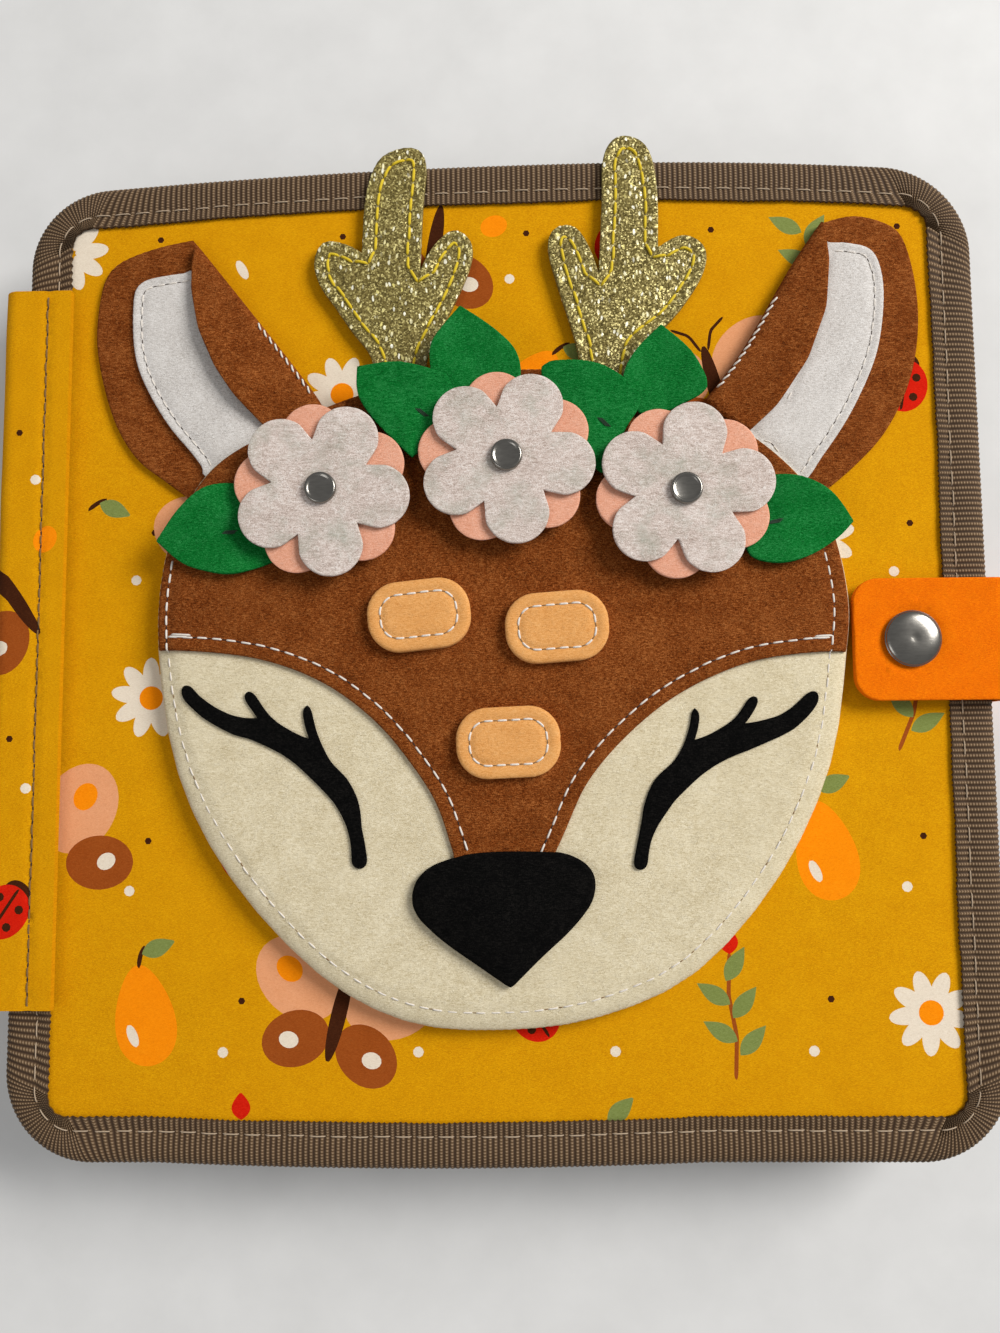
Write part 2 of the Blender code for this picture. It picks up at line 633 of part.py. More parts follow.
def make_leaf(number, bottom, web_low, web_high, holes=()):
    name = "leaf_" + str(number)
    low = bottom + BIND_T + FIT
    high = low + LEAF_FELT_T + FIT
    back = page_layer(name + "_back", low, LEAF_FELT_T, FELT_CREAM, holes)
    front = page_layer(name + "_front", high, LEAF_FELT_T, FELT_CREAM, holes)
    edge = binding(name + "_binding", bottom, LEAF_T)
    tab = spine_t("spine_tab_" + str(number), web_low, web_high, bottom)
    return [back, front, edge, tab]


def make_hand(name, length, bottom, turn):
    """A clock hand: a round boss, a bar and an arrow head."""
    half = HAND_W / 2
    neck = length - HAND_TIP_L
    boss = [(half * math.cos(a), half * math.sin(a))
            for a in (math.pi * (1 + i / CORNER_STEPS) for i in range(CORNER_STEPS + 1))]
    outline = boss + [(half / 2, neck), (HAND_TIP_W / 2, neck), (0, length),
                      (-HAND_TIP_W / 2, neck), (-half / 2, neck)]
    hole = circle((0, 0), RIVET_SHANK_R + HOLE_FIT)
    hand = flat_piece(name, [outline, hole], bottom, HAND_T, FELT_RED, BOOK, (0, DIAL_Y))
    hand.rotation_euler = (0, 0, math.radians(turn))
    return hand


def make_clock():
    felt_top = LEAF_1_Z + LEAF_T - BIND_T - FIT
    dial_z = felt_top + FIT
    hour_z = dial_z + DIAL_T + FIT
    minute_z = hour_z + HAND_T + FIT
    cap_z = minute_z + HAND_T + FIT
    foot_top = LEAF_1_Z + BIND_T
    hole = circle((0, DIAL_Y), RIVET_SHANK_R + HOLE_FIT)
    dial = flat_piece("clock_dial", [circle((0, DIAL_Y), DIAL_R, DIAL_SIDES), hole], dial_z,
                      DIAL_T, FELT_WHITE, BOOK)
    hour = make_hand("hour_hand", HOUR_L, hour_z, HANDS_TURN[0])
    minute = make_hand("minute_hand", MINUTE_L, minute_z, HANDS_TURN[1])
    rivet = make_rivet("clock_rivet", (0, DIAL_Y), cap_z, foot_top, BIND_T)
    return dial, hour, minute, rivet


def make_rivet(name, at, cap_z, foot_top, foot_t):
    """A rivet: a flat cap above the layers that it holds, a shank and a spread foot below."""
    top = cap_z + RIVET_CAP_T
    profile = [(0, top), (RIVET_CAP_R - RIVET_EDGE, top), (RIVET_CAP_R, top - RIVET_EDGE),
               (RIVET_CAP_R, cap_z), (RIVET_SHANK_R, cap_z), (RIVET_SHANK_R, foot_top),
               (RIVET_FOOT_R, foot_top), (RIVET_FOOT_R, foot_top - foot_t),
               (0, foot_top - foot_t)]
    return turned(name, profile, at, STEEL, BOOK)


def make_front_cover():
    skin_z = PANEL_TOP - SKIN_T
    core_z = skin_z - FIT - CORE_T
    lining_z = core_z - FIT - LINING_T
    hole = circle(SNAP_AT, STUD_POST_R + HOLE_FIT)
    pieces = [
        page_layer("front_panel", skin_z, SKIN_T, PRINTED, [hole]),
        page_layer("front_core", core_z, CORE_T, BOARD, [hole]),
        page_layer("front_lining", lining_z, LINING_T, FELT_CREAM, [hole]),
        binding("front_binding", FRONT_Z, COVER_T),
        spine_l("spine_strip_front", HINGE_FRONT_Z + SPINE_SPLIT / 2, WING_Z + WRAP_T, True),
    ]
    washer_top = lining_z - FIT
    knob_top = STUD_Z + STUD_BASE_T + STUD_KNOB_H
    base_top = STUD_Z + STUD_BASE_T
    stud = [(0, knob_top), (STUD_KNOB_R, knob_top), (STUD_KNOB_R, base_top),
            (STUD_BASE_R, base_top), (STUD_BASE_R, STUD_Z), (STUD_POST_R, STUD_Z),
            (STUD_POST_R, washer_top - WASHER_T), (0, washer_top - WASHER_T)]
    bore = STUD_POST_R + HOLE_FIT
    washer = [(WASHER_R, washer_top), (WASHER_R, washer_top - WASHER_T),
              (bore, washer_top - WASHER_T), (bore, washer_top)]
    pieces.append(turned("snap_stud", stud, SNAP_AT, STEEL, BOOK))
    pieces.append(turned("stud_washer", washer, SNAP_AT, STEEL, BOOK))
    return pieces


def make_ear(side, ear, inner, edge, fold_in):
    """An ear folded over its inner piece; the fold runs up the side nearest the antlers."""
    flap_top = FLAP_Z + EAR_FELT_T
    solid = slab("ear_" + side, [ear], EAR_Z, flap_top - EAR_Z, FELT_BROWN, BOOK)
    bare_z = EAR_Z + EAR_FELT_T
    past = math.copysign(HEAD_W, edge[0][0])
    low = edge[-1][1] - HEAD_H
    beyond = [(edge[-1][0], low), (edge[-1][0] + past, low), (edge[0][0] + past, edge[0][1])]
    reveal = cutter("ear_" + side + "_reveal", edge + beyond, bare_z, flap_top + CUT_OVER)
    hollow = [(x + fold_in[0], y + fold_in[1]) for x, y in ear]
    space = cutter("ear_" + side + "_space", hollow, bare_z, FLAP_Z)
    head = cutter("ear_" + side + "_head", head_outline(-2 * FIT), bare_z,
                  flap_top + CUT_OVER)
    combine(solid, reveal, "DIFFERENCE")
    combine(solid, space, "DIFFERENCE")
    combine(solid, head, "DIFFERENCE")
    white = flat_piece("ear_" + side + "_inner", [inner], EAR_INNER_Z, EAR_INNER_T, FELT_WHITE,
                       BOOK)
    return [solid, white]


def fold_step(first, last):
    """The step from the fold line to the fold's inner face, square to the line."""
    along = np.array(last) - np.array(first)
    side = np.array([along[1], -along[0]]) / np.linalg.norm(along)
    return side * EAR_FELT_T


def part_of_ear(points_px, ear_at, ear_size, at_shares, size_shares):
    """Points whose place and size are shares of an ear's width and height."""
    centre = (ear_at[0] + at_shares[0] * ear_size[0], ear_at[1] + at_shares[1] * ear_size[1])
    return fitted(points_px, centre, size_shares[0] * ear_size[0], size_shares[1] * ear_size[1])


def make_ears():
    size = (EAR_LEFT_SIZE_SHARES[0] * HEAD_W, EAR_LEFT_SIZE_SHARES[1] * HEAD_H)
    at = (-WINDOW_RIGHT + EAR_LEFT_TO_SIDE + size[0] / 2,
          WINDOW_TOP - EAR_LEFT_TO_TOP - size[1] / 2)
    corners = corner_numbers(EAR_LEFT_PX, EAR_LEFT_CORNERS_PX)
    left = smooth_loop(fitted(EAR_LEFT_PX, at, *size), corners)
    left_in = smooth_loop(part_of_ear(EAR_LEFT_INNER_PX, at, size, EAR_LEFT_INNER_AT_SHARES,
                                      EAR_LEFT_INNER_SIZE_SHARES))
    left_edge = part_of_ear(FLAP_EDGE_LEFT_PX, at, size, FLAP_EDGE_LEFT_AT_SHARES,
                            FLAP_EDGE_LEFT_SIZE_SHARES)
    in_left = fold_step(left[0], left[corners[-1] * CURVE_STEPS])
    size = (EAR_RIGHT_SIZE_SHARES[0] * HEAD_W, EAR_RIGHT_SIZE_SHARES[1] * HEAD_H)
    at = (WINDOW_RIGHT - EAR_RIGHT_TO_SIDE - size[0] / 2,
          WINDOW_TOP - EAR_RIGHT_TO_TOP - size[1] / 2)
    corners = corner_numbers(EAR_RIGHT_PX, EAR_RIGHT_CORNERS_PX)
    right = smooth_loop(fitted(EAR_RIGHT_PX, at, *size), corners)
    right_in = smooth_loop(part_of_ear(EAR_RIGHT_INNER_PX, at, size, EAR_RIGHT_INNER_AT_SHARES,
                                       EAR_RIGHT_INNER_SIZE_SHARES))
    right_edge = part_of_ear(FLAP_EDGE_RIGHT_PX, at, size, FLAP_EDGE_RIGHT_AT_SHARES,
                             FLAP_EDGE_RIGHT_SIZE_SHARES)
    in_right = -fold_step(right[0], right[corners[-1] * CURVE_STEPS])
    return (make_ear("left", left, left_in, left_edge, in_left)
            + make_ear("right", right, right_in, right_edge, in_right))


def make_antlers():
    left = drawn_on_head(ANTLER_LEFT_PX, ANTLER_LEFT_AT_SHARES, ANTLER_LEFT_SIZE_SHARES,
                         ANTLER_LEFT_CORNERS_PX)
    right = drawn_on_head(ANTLER_RIGHT_PX, ANTLER_RIGHT_AT_SHARES, ANTLER_RIGHT_SIZE_SHARES,
                          ANTLER_RIGHT_CORNERS_PX)
    return [flat_piece("antler_left", [left], ANTLER_Z, ANTLER_T, GLITTER, BOOK),
            flat_piece("antler_right", [right], ANTLER_Z, ANTLER_T, GLITTER, BOOK)]


def make_head():
    """The padded head and its brown mask, with the holes of the flowers' rivets."""
    centres = [on_head(share) for share in FLOWERS_AT_SHARES]
    shank_holes = [circle(at, RIVET_SHANK_R + HOLE_FIT) for at in centres]
    foot_holes = [circle(at, RIVET_FOOT_R + HOLE_FIT) for at in centres]
    backing = flat_piece("head_backing", [head_outline(BACKING_INSET), *foot_holes],
                         PANEL_TOP + FIT, HEAD_Z - PANEL_TOP - 2 * FIT, BATTING, BOOK)
    head = flat_piece("head", [head_outline(0), *shank_holes], HEAD_Z, HEAD_T, FELT_CREAM, BOOK)
    mask = slab("mask", [head_outline(MASK_INSET), *shank_holes], MASK_Z, MASK_T, FELT_BROWN,
                BOOK)
    edge = fitted(MUZZLE_PX, on_head(MUZZLE_AT_SHARES), HEAD_W * MUZZLE_SIZE_SHARES[0],
                  HEAD_H * MUZZLE_SIZE_SHARES[1])
    past = HEAD_W / 4
    low = HEAD_Y - HEAD_H / 2 - past
    corners = (0, len(edge) - 1)
    muzzle_loop = smooth_loop(edge, corners)[:CURVE_STEPS * (len(edge) - 1)] + [edge[-1]]
    muzzle_loop = ([(edge[0][0] - past, edge[0][1])] + muzzle_loop
                   + [(edge[-1][0] + past, edge[-1][1]), (edge[-1][0] + past, low),
                      (edge[0][0] - past, low)])
    muzzle = cutter("mask_muzzle", muzzle_loop, MASK_Z - CUT_OVER, MASK_TOP + CUT_OVER)
    nose_room = drawn_on_head(NOSE_PX, NOSE_AT_SHARES, NOSE_SIZE_SHARES, NOSE_CORNERS_PX, FIT)
    nose_cutter = cutter("mask_nose", nose_room, MASK_Z - CUT_OVER, MASK_TOP + CUT_OVER)
    combine(mask, muzzle, "DIFFERENCE")
    combine(mask, nose_cutter, "DIFFERENCE")
    return [backing, head, mask]


def make_features():
    """Nose, eyelashes and spots."""
    nose_loop = drawn_on_head(NOSE_PX, NOSE_AT_SHARES, NOSE_SIZE_SHARES, NOSE_CORNERS_PX)
    nose = flat_piece("nose", [nose_loop], MASK_Z, NOSE_T, FELT_BLACK, BOOK)
    soften(nose, NOSE_SOFT)
    pieces = [nose]
    lash_size = (LASH_SIZE_SHARES[0] * HEAD_W, LASH_SIZE_SHARES[1] * HEAD_H)
    corners = corner_numbers(LASH_PX, LASH_CORNERS_PX)
    for side, at, mirror in (("left", LASH_LEFT_AT_SHARES, False),
                             ("right", LASH_RIGHT_AT_SHARES, True)):
        points = fitted(LASH_PX, on_head(at), *lash_size, mirror)
        if mirror:
            corners = [len(LASH_PX) - 1 - i for i in corners]
        pieces.append(flat_piece("lash_" + side, [smooth_loop(points, corners, 2)], MASK_Z,
                                 LASH_T, FELT_BLACK, BOOK))
    for number, (share, turn) in enumerate(zip(SPOTS_AT_SHARES, SPOTS_TURN), 1):
        loop = pill(on_head(share), SPOT_SIZE_SHARES[0] * HEAD_W, SPOT_SIZE_SHARES[1] * HEAD_H,
                    turn)
        spot = flat_piece("spot_" + str(number), [loop], MASK_TOP + FIT, SPOT_T, FELT_TAN, BOOK)
        soften(spot, SPOT_SOFT)
        pieces.append(spot)
    return pieces


def make_green_leaves():
    pieces = []
    leaves = zip(GREEN_LEAVES_PX, GREEN_AT_SHARES, GREEN_SIZE_SHARES, GREEN_RAISED)
    for number, (points_px, at_shares, size_shares, raised) in enumerate(leaves, 1):
        loop = drawn_on_head(points_px, at_shares, size_shares, GREEN_CORNERS_PX)
        bottom = GREEN_RAISED_Z if raised else GREEN_Z
        pieces.append(flat_piece("green_leaf_" + str(number), [loop], bottom, GREEN_T,
                                 FELT_GREEN, BOOK))
    return pieces


def make_flower(number, at, turn):
    """Two layers of petals, sewn together half a petal apart, that spin on a rivet."""
    hole = circle((0, 0), RIVET_SHANK_R + HOLE_FIT)
    half_petal = 180 / PETALS
    low = flat_piece("petals_low_" + str(number), [rosette(turn + half_petal), hole],
                     PETAL_LOW_Z, PETAL_T, FELT_PEACH, BOOK, at)
    high = flat_piece("petals_high_" + str(number), [rosette(turn), hole], PETAL_HIGH_Z,
                      PETAL_T, FELT_BLUSH, BOOK, at)
    rivet = make_rivet("rivet_" + str(number), at, RIVET_CAP_Z, HEAD_Z - FIT, RIVET_FOOT_T)
    return [low, high], rivet


def make_strap():
    """The strap's loose stretches: one up the fore-edge and one over the front cover."""
    low = STRAP_Y - STRAP_W / 2
    high = STRAP_Y + STRAP_W / 2
    side_low = STRAP_SPLIT
    side_high = STRAP_TOP - WRAP_T - STRAP_SPLIT
    outline = [(STRAP_IN, side_low), (STRAP_OUT, side_low), (STRAP_OUT, side_high),
               (STRAP_IN, side_high)]
    side = section_piece("strap_side", outline, STRAP_Y, STRAP_W, FELT_ORANGE, BOOK)
    flap_loop = rounded_box(STRAP_END, STRAP_OUT - STRAP_SPLIT, low, high,
                            [STRAP_R, 0, 0, STRAP_R])
    hole = circle(SNAP_AT, SNAP_SHANK_R + HOLE_FIT)
    flap = flat_piece("strap_flap", [flap_loop, hole], STRAP_Z, WRAP_T, FELT_ORANGE, BOOK)
    cap_top = SNAP_CAP_Z + SNAP_CAP_T
    dome = [(SNAP_DIMPLE_R + (SNAP_CAP_R - SNAP_DIMPLE_R) * math.sin(a),
             SNAP_CAP_Z + SNAP_RIM_T + (SNAP_CAP_T - SNAP_RIM_T) * math.cos(a))
            for a in (math.pi / 2 * i / CORNER_STEPS for i in range(CORNER_STEPS + 1))]
    cap = ([(0, cap_top - SNAP_DIMPLE_DEPTH)] + dome
           + [(SNAP_CAP_R, SNAP_CAP_Z), (SNAP_SHANK_R, SNAP_CAP_Z), (SNAP_SHANK_R, STRAP_Z),
              (0, STRAP_Z)])
    bore = STUD_KNOB_R + HOLE_FIT
    ring = [(SOCKET_R, SOCKET_Z + SOCKET_T), (SOCKET_R, SOCKET_Z), (bore, SOCKET_Z),
            (bore, SOCKET_Z + SOCKET_T)]
    return side, [flap, turned("snap_cap", cap, SNAP_AT, STEEL, BOOK),
                  turned("snap_socket", ring, SNAP_AT, STEEL, BOOK)]


clear_scene()
BOOK = new_collection("quiet_book")
CUTTERS = new_collection("cutters")
PRINTED = new_material("Printed mustard cotton", (0.62, 0.33, 0.01), 0.85)
RIBBON = new_material("Taupe ribbon", (0.21, 0.15, 0.11), 0.8)
BOARD = new_material("Stiff board", (0.7, 0.66, 0.58), 0.9)
BATTING = new_material("White batting", (0.85, 0.85, 0.83), 1.0)
FELT_CREAM = new_material("Cream felt", (0.60, 0.54, 0.42), 0.95)
FELT_WHITE = new_material("White felt", (0.72, 0.72, 0.74), 0.95)
FELT_BROWN = new_material("Brown felt", (0.19, 0.045, 0.008), 0.95)
FELT_TAN = new_material("Tan felt", (0.78, 0.42, 0.16), 0.95)
FELT_BLACK = new_material("Black felt", (0.012, 0.012, 0.012), 0.9)
FELT_GREEN = new_material("Green felt", (0.0, 0.15, 0.022), 0.95)
FELT_PEACH = new_material("Peach felt", (0.66, 0.29, 0.19), 0.95)
FELT_BLUSH = new_material("Blush felt", (0.68, 0.53, 0.53), 0.95)
FELT_ORANGE = new_material("Orange felt", (0.95, 0.22, 0.0), 0.95)
FELT_RED = new_material("Red felt", (0.55, 0.04, 0.02), 0.95)
GLITTER = new_material("Gold glitter sheet", (0.36, 0.30, 0.08), 0.5, 0.6)
STEEL = new_material("Polished steel", (0.75, 0.75, 0.75), 0.2, 1.0)

leaf_2_hinge = joint_empty("leaf_2_hinge", HINGE_X, 0, HINGE_BACK_Z)
leaf_1_hinge = joint_empty("leaf_1_hinge", HINGE_X, 0, HINGE_LEAF_Z, leaf_2_hinge)
front_hinge = joint_empty("front_cover_hinge", HINGE_X, 0, HINGE_FRONT_Z, leaf_1_hinge)
strap_hinge = joint_empty("strap_side_hinge", STRAP_OUT, STRAP_Y, 0)
flap_hinge = joint_empty("strap_flap_hinge", STRAP_OUT, STRAP_Y, STRAP_TOP, strap_hinge)
clock_pivot = joint_empty("clock_pivot", 0, DIAL_Y, LEAF_1_Z + LEAF_T, leaf_1_hinge)

make_back_cover()
split = SPINE_SPLIT / 2
shank_hole = circle((0, DIAL_Y), RIVET_SHANK_R + HOLE_FIT)
carry(leaf_2_hinge, make_leaf(2, LEAF_2_Z, HINGE_BACK_Z + split, HINGE_LEAF_Z - split))
carry(leaf_1_hinge, make_leaf(1, LEAF_1_Z, HINGE_LEAF_Z + split, HINGE_FRONT_Z - split,
                              [shank_hole]))
dial, hour, minute, clock_rivet = make_clock()
carry(leaf_1_hinge, [dial, clock_rivet])
carry(clock_pivot, [hour, minute])
carry(front_hinge, make_front_cover() + make_ears() + make_antlers() + make_head()
      + make_features() + make_green_leaves())
for number, (share, turn) in enumerate(zip(FLOWERS_AT_SHARES, FLOWERS_TURN), 1):
    place = on_head(share)
    pivot = joint_empty("flower_" + str(number) + "_pivot", *place, PETAL_LOW_Z, front_hinge)
    petals, rivet = make_flower(number, place, turn)
    carry(pivot, petals)
    carry(front_hinge, [rivet])
strap_side, flap_pieces = make_strap()
carry(strap_hinge, [strap_side])
carry(flap_hinge, flap_pieces)
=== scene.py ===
"""The looks of a felt quiet book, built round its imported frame.

Most outlines come from the frame's own flat faces, and a few are points of the photograph.
Everything here is worked out in millimetres, in the frame's axes, and becomes metres when a
mesh is made. Each piece carries its rest
places as the attribute "lay", which its material reads, so cloth keeps its pattern as it bends.
"""
import json
import math

import bmesh
import bpy
import numpy as np
from mathutils import Matrix, Vector
from mathutils.geometry import delaunay_2d_cdt
from mathutils.kdtree import KDTree


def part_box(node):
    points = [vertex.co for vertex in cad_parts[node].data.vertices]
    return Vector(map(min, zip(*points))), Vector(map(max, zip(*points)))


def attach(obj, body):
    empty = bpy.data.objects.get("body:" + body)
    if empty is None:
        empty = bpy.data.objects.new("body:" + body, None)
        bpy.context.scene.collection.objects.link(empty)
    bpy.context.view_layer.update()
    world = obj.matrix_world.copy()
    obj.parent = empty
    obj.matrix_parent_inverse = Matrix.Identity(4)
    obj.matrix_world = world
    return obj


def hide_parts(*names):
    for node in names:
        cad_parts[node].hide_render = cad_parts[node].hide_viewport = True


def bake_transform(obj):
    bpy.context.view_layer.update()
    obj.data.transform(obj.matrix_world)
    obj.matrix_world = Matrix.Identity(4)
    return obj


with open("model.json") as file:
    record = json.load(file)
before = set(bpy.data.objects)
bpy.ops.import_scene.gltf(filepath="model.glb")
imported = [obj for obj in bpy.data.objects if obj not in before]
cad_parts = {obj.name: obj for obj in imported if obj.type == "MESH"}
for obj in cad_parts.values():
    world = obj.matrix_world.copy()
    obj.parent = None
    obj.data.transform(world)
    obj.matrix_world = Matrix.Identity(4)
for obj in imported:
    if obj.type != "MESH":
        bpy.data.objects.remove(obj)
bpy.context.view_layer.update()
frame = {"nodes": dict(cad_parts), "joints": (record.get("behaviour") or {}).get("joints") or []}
MM = 0.001
TAU = math.tau

# The photograph and its camera, in the frame's axes
PHOTO_SIZE = (1000, 1333)
FOCAL_PX = 1020.0
SENSOR = 36.0
CAMERA_AT = (5.83, -27.56, 256.37)
CAMERA_FORWARD = (-0.02085, 0.08673, -0.99601)
CAMERA_UP = (0.01023, 0.99620, 0.08653)

# The cover's corner and its ribbon: widths, ribs, roundings, seams, and how far its face rises
# or dips at each distance from the edge
COVER_R = 20.0
RIBBON_W = 10.5
RIB_PITCH = 1.18
RIB_RISE = 0.22
RIBBON_T = 0.5
RIBBON_INNER_R = 4.5
EDGE_ROUND = 2.6
SCALLOP = 0.4
RIBBON_STITCH_IN = 3.1
RIBBON_DIPS = ((RIBBON_W, 0.05), (9.7, 0.08), (8.8, -0.02), (8.0, -0.2),
               (RIBBON_W - RIBBON_STITCH_IN, -0.34), (6.8, -0.18), (5.8, -0.02), (4.4, 0.08),
               (3.4, 0.06))
PANEL_IN = 2.4
PRINT_IN = 5

# How far the cover's upper and lower side bulge, where most, how wide, and where that fades
BOW_TOP = 4.4
BOW_TOP_AT = 26.0
BOW_TOP_OVER = (116.0, 86.0)
BOW_LOW = 1.3
BOW_LOW_AT = -15.0
BOW_LOW_OVER = 60.0
BOW_FADE_FROM = 40.0
BOW_FADE_OVER = 50.0

# The cloths that wrap the spine and the fore-edge
SPINE_SEAM_IN = 5.4
WING_OVER = 0.9
SPINE_BEND_R = 3.6
WRAP_T = 1.8
STRAP_BEND_R = 3.2
STRAP_CORNER_R = 5.5

# The head, its mask and the seams on them
HEAD_DROP = 1.5
HEAD_SLOPE = 6.0
HEAD_SEAM_IN = 2.6
HEAD_SEAM_LOW_IN = 4.0
MASK_SEAM_IN = 3.0
HEAD_SEAM_OVER = 35.0
HEAD_SEAM_TOP_PX = (170, 545)
MASK_T = 1.15
MASK_RIM_GAP = 0.5
MASK_RIM_OVER = 4.0
MASK_TAPER = (1.8, 2.9)
MASK_TAPER_OVER = 11.0
MASK_SEAM_TOP_PX = (170, 600)

# The ears' white pieces are drawn on under the flap and the head in steps
TUCK = 2.5
TUCK_REACH = 1.3
TUCK_LOW_REACH = 5.0
TUCK_LOW_OVER = 12.0
TUCK_STEPS = 12
TUCK_STEP = 0.5
TUCK_FIRST = 1.0

# The ears' fold and edge stitches, the antlers, the spots and the green leaves' tacks
EAR_SEAM_IN = 2.0
FOLD_R = 1.9
OVERCAST_PX = {"left": ((253, 315), (311, 392)), "right": ((771, 293), (712, 391))}
OVERCAST_PITCH = 2.1
OVERCAST_STEP = 0.1
OVERCAST_DEPTHS = (0.95, 0.85, 0.75, 0.65, 0.5, 0.4, 0.3)
OVERCAST_RISES = (-0.2, 0.2, 0.27, 0.3, 0.3, 0.25, -0.1)
ANTLER_SEAM_IN = 3.0
SPOTS_PX = ((418.4, 614.2, 6), (557.1, 626.0, 4), (508.3, 742.3, 2.5))
SPOT_SIZE = (22.6, 15.4)
SPOT_R = 6.9
SPOT_SEAM_IN = 2.9
PINCHES_PX = ((230, 532, 0), (423, 414, -40), (604, 424, -45), (776, 521, 8))

# The clock page
DIAL_SEAM_IN = 2.5
HAND_SEAM_IN = 1.6
NUMERAL_SIZE = 14.0
NUMERAL_HALF_T = 0.35
NUMERALS_IN = 10.5

# Running stitches: their length, the gap between them and the thread's radius
THREAD_R = 0.22
RIBBON_STITCH = (4.0, 0.7, 0.15)
SPINE_STITCH = (2.5, 0.6, 0.2)
EAR_STITCH = (2.1, 0.8, 0.17)
ANTLER_STITCH = (3.4, 0.12, 0.36)
HEAD_STITCH = (2.5, 0.6, 0.2)
MASK_STITCH = (2.5, 0.75, THREAD_R)
SPOT_STITCH = (2.3, 0.6, 0.24)
DIAL_STITCH = (2.6, 1.0, 0.22)
HAND_STITCH = (2.2, 0.8, 0.18)

# Meshes: how finely outlines are followed, the points along a stitch and round a thread, the
# rows of an even grid and how far its points stray as shares of its step, how many places are
# held against an outline at a time, and what a sheet may be
DENSE = 0.25
TREE_STEP = 0.2
STRIP_STEP = 1.2
STITCH_POINTS = 7
THREAD_SIDES = 6
HEX_ROW = 0.866
HEX_STRAY = 0.18
AT_ONCE = 4000
NARROWEST_SHEET = 10.1
FORKED_SHARE = 0.305

# The lashes' outlines, as points of the photograph
LASH_LEFT_PX = ((180, 691), (181, 686), (185, 684), (190, 686), (196, 694), (206, 702),
                (217, 709), (230, 715), (244, 718), (257, 718), (252, 711), (246, 703),
                (243, 697), (244, 693), (247, 690), (252, 692), (257, 699), (262, 707),
                (269, 716), (277, 723), (287, 729), (298, 735), (309, 739), (305, 729),
                (303, 719), (302, 711), (303, 707), (307, 705), (310, 707), (312, 716),
                (315, 729), (319, 740), (324, 751), (330, 762), (337, 769), (346, 778),
                (352, 788), (357, 799), (360, 812), (361, 828), (364, 842), (366, 855),
                (367, 863), (365, 868), (360, 870), (355, 869), (351, 865), (351, 853),
                (350, 842), (347, 829), (341, 815), (333, 802), (322, 790), (309, 777),
                (295, 764), (281, 754), (265, 746), (249, 739), (233, 735), (217, 727),
                (202, 718), (191, 708), (182, 699))
LASH_RIGHT_PX = ((820, 696), (818, 691), (814, 690), (809, 692), (801, 700), (792, 708),
                 (781, 715), (768, 719), (755, 722), (746, 723), (750, 718), (755, 710),
                 (759, 702), (759, 697), (755, 695), (751, 696), (747, 702), (742, 710),
                 (736, 718), (728, 724), (720, 729), (709, 735), (695, 740), (698, 731),
                 (700, 719), (700, 713), (698, 709), (695, 708), (692, 711), (691, 723),
                 (688, 734), (685, 743), (680, 753), (674, 762), (666, 769), (659, 775),
                 (653, 783), (648, 794), (644, 807), (642, 821), (639, 837), (636, 852),
                 (634, 863), (634, 868), (639, 871), (645, 870), (648, 866), (649, 853),
                 (652, 839), (658, 826), (666, 814), (675, 801), (688, 788), (702, 775),
                 (718, 764), (734, 756), (750, 750), (766, 743), (782, 736), (795, 729),
                 (806, 719), (814, 710), (819, 702))


# Reading the frame

def node_box(name):
    low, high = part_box(name)
    return np.array(low) / MM, np.array(high) / MM


def flat_loops(name, side=1):
    """The outlines, in XY, of a node's highest flat face, or of its lowest with side -1."""
    work = bmesh.new()
    work.from_mesh(frame["nodes"][name].data)
    bmesh.ops.remove_doubles(work, verts=work.verts, dist=0.005 * MM)
    work.normal_update()
    level = [f for f in work.faces if f.normal.z * side > 0.99]
    end = max(f.calc_center_median().z * side for f in level)
    level = {f for f in level if f.calc_center_median().z * side > end - 0.01 * MM}
    after = {}
    for face in sorted(level, key=lambda f: f.index):
        for loop in face.loops:
            if sum(other in level for other in loop.edge.link_faces) == 1:
                after[loop.vert.index] = loop.link_loop_next.vert.index
    places = {v.index: (v.co.x / MM, v.co.y / MM) for v in work.verts}
    loops = []
    while after:
        start = min(after)
        chain = []
        at = start
        while at in after:
            chain.append(places[at])
            at = after.pop(at)
        loops.append(np.array(chain))
    work.free()
    loops.sort(key=lambda l: -abs(area_of(l)))
    return [l if area_of(l) > 0 else l[::-1] for l in loops]


def on_plane(points_px, height):
    """Where points of the photograph lie on a level plane."""
    forward = np.array(CAMERA_FORWARD) / np.linalg.norm(CAMERA_FORWARD)
    right = np.cross(forward, CAMERA_UP)
    right /= np.linalg.norm(right)
    up = np.cross(right, forward)
    px = np.asarray(points_px, float)
    rays = (forward * FOCAL_PX + right * (px[:, :1] - PHOTO_SIZE[0] / 2)
            + up * (PHOTO_SIZE[1] / 2 - px[:, 1:2]))
    return np.array(CAMERA_AT[:2]) + (rays * (height - CAMERA_AT[2]) / rays[:, 2:])[:, :2]


# Plane geometry

def area_of(loop):
    x, y = loop.T
    return float((x * np.roll(y, -1) - np.roll(x, -1) * y).sum() / 2)


def resample(line, step, closed=True):
    """Points about a step apart along a line of points."""
    line = np.asarray(line, float)
    if closed:
        line = np.vstack([line, line[:1]])
    lengths = np.linalg.norm(np.diff(line, axis=0), axis=1)
    at = np.concatenate([[0], np.cumsum(lengths)])
    count = max(3, int(round(at[-1] / step)))
    wanted = np.linspace(0, at[-1], count + 1)
    if closed:
        wanted = wanted[:-1]
    return np.stack([np.interp(wanted, at, line[:, k]) for k in range(line.shape[1])], axis=1)


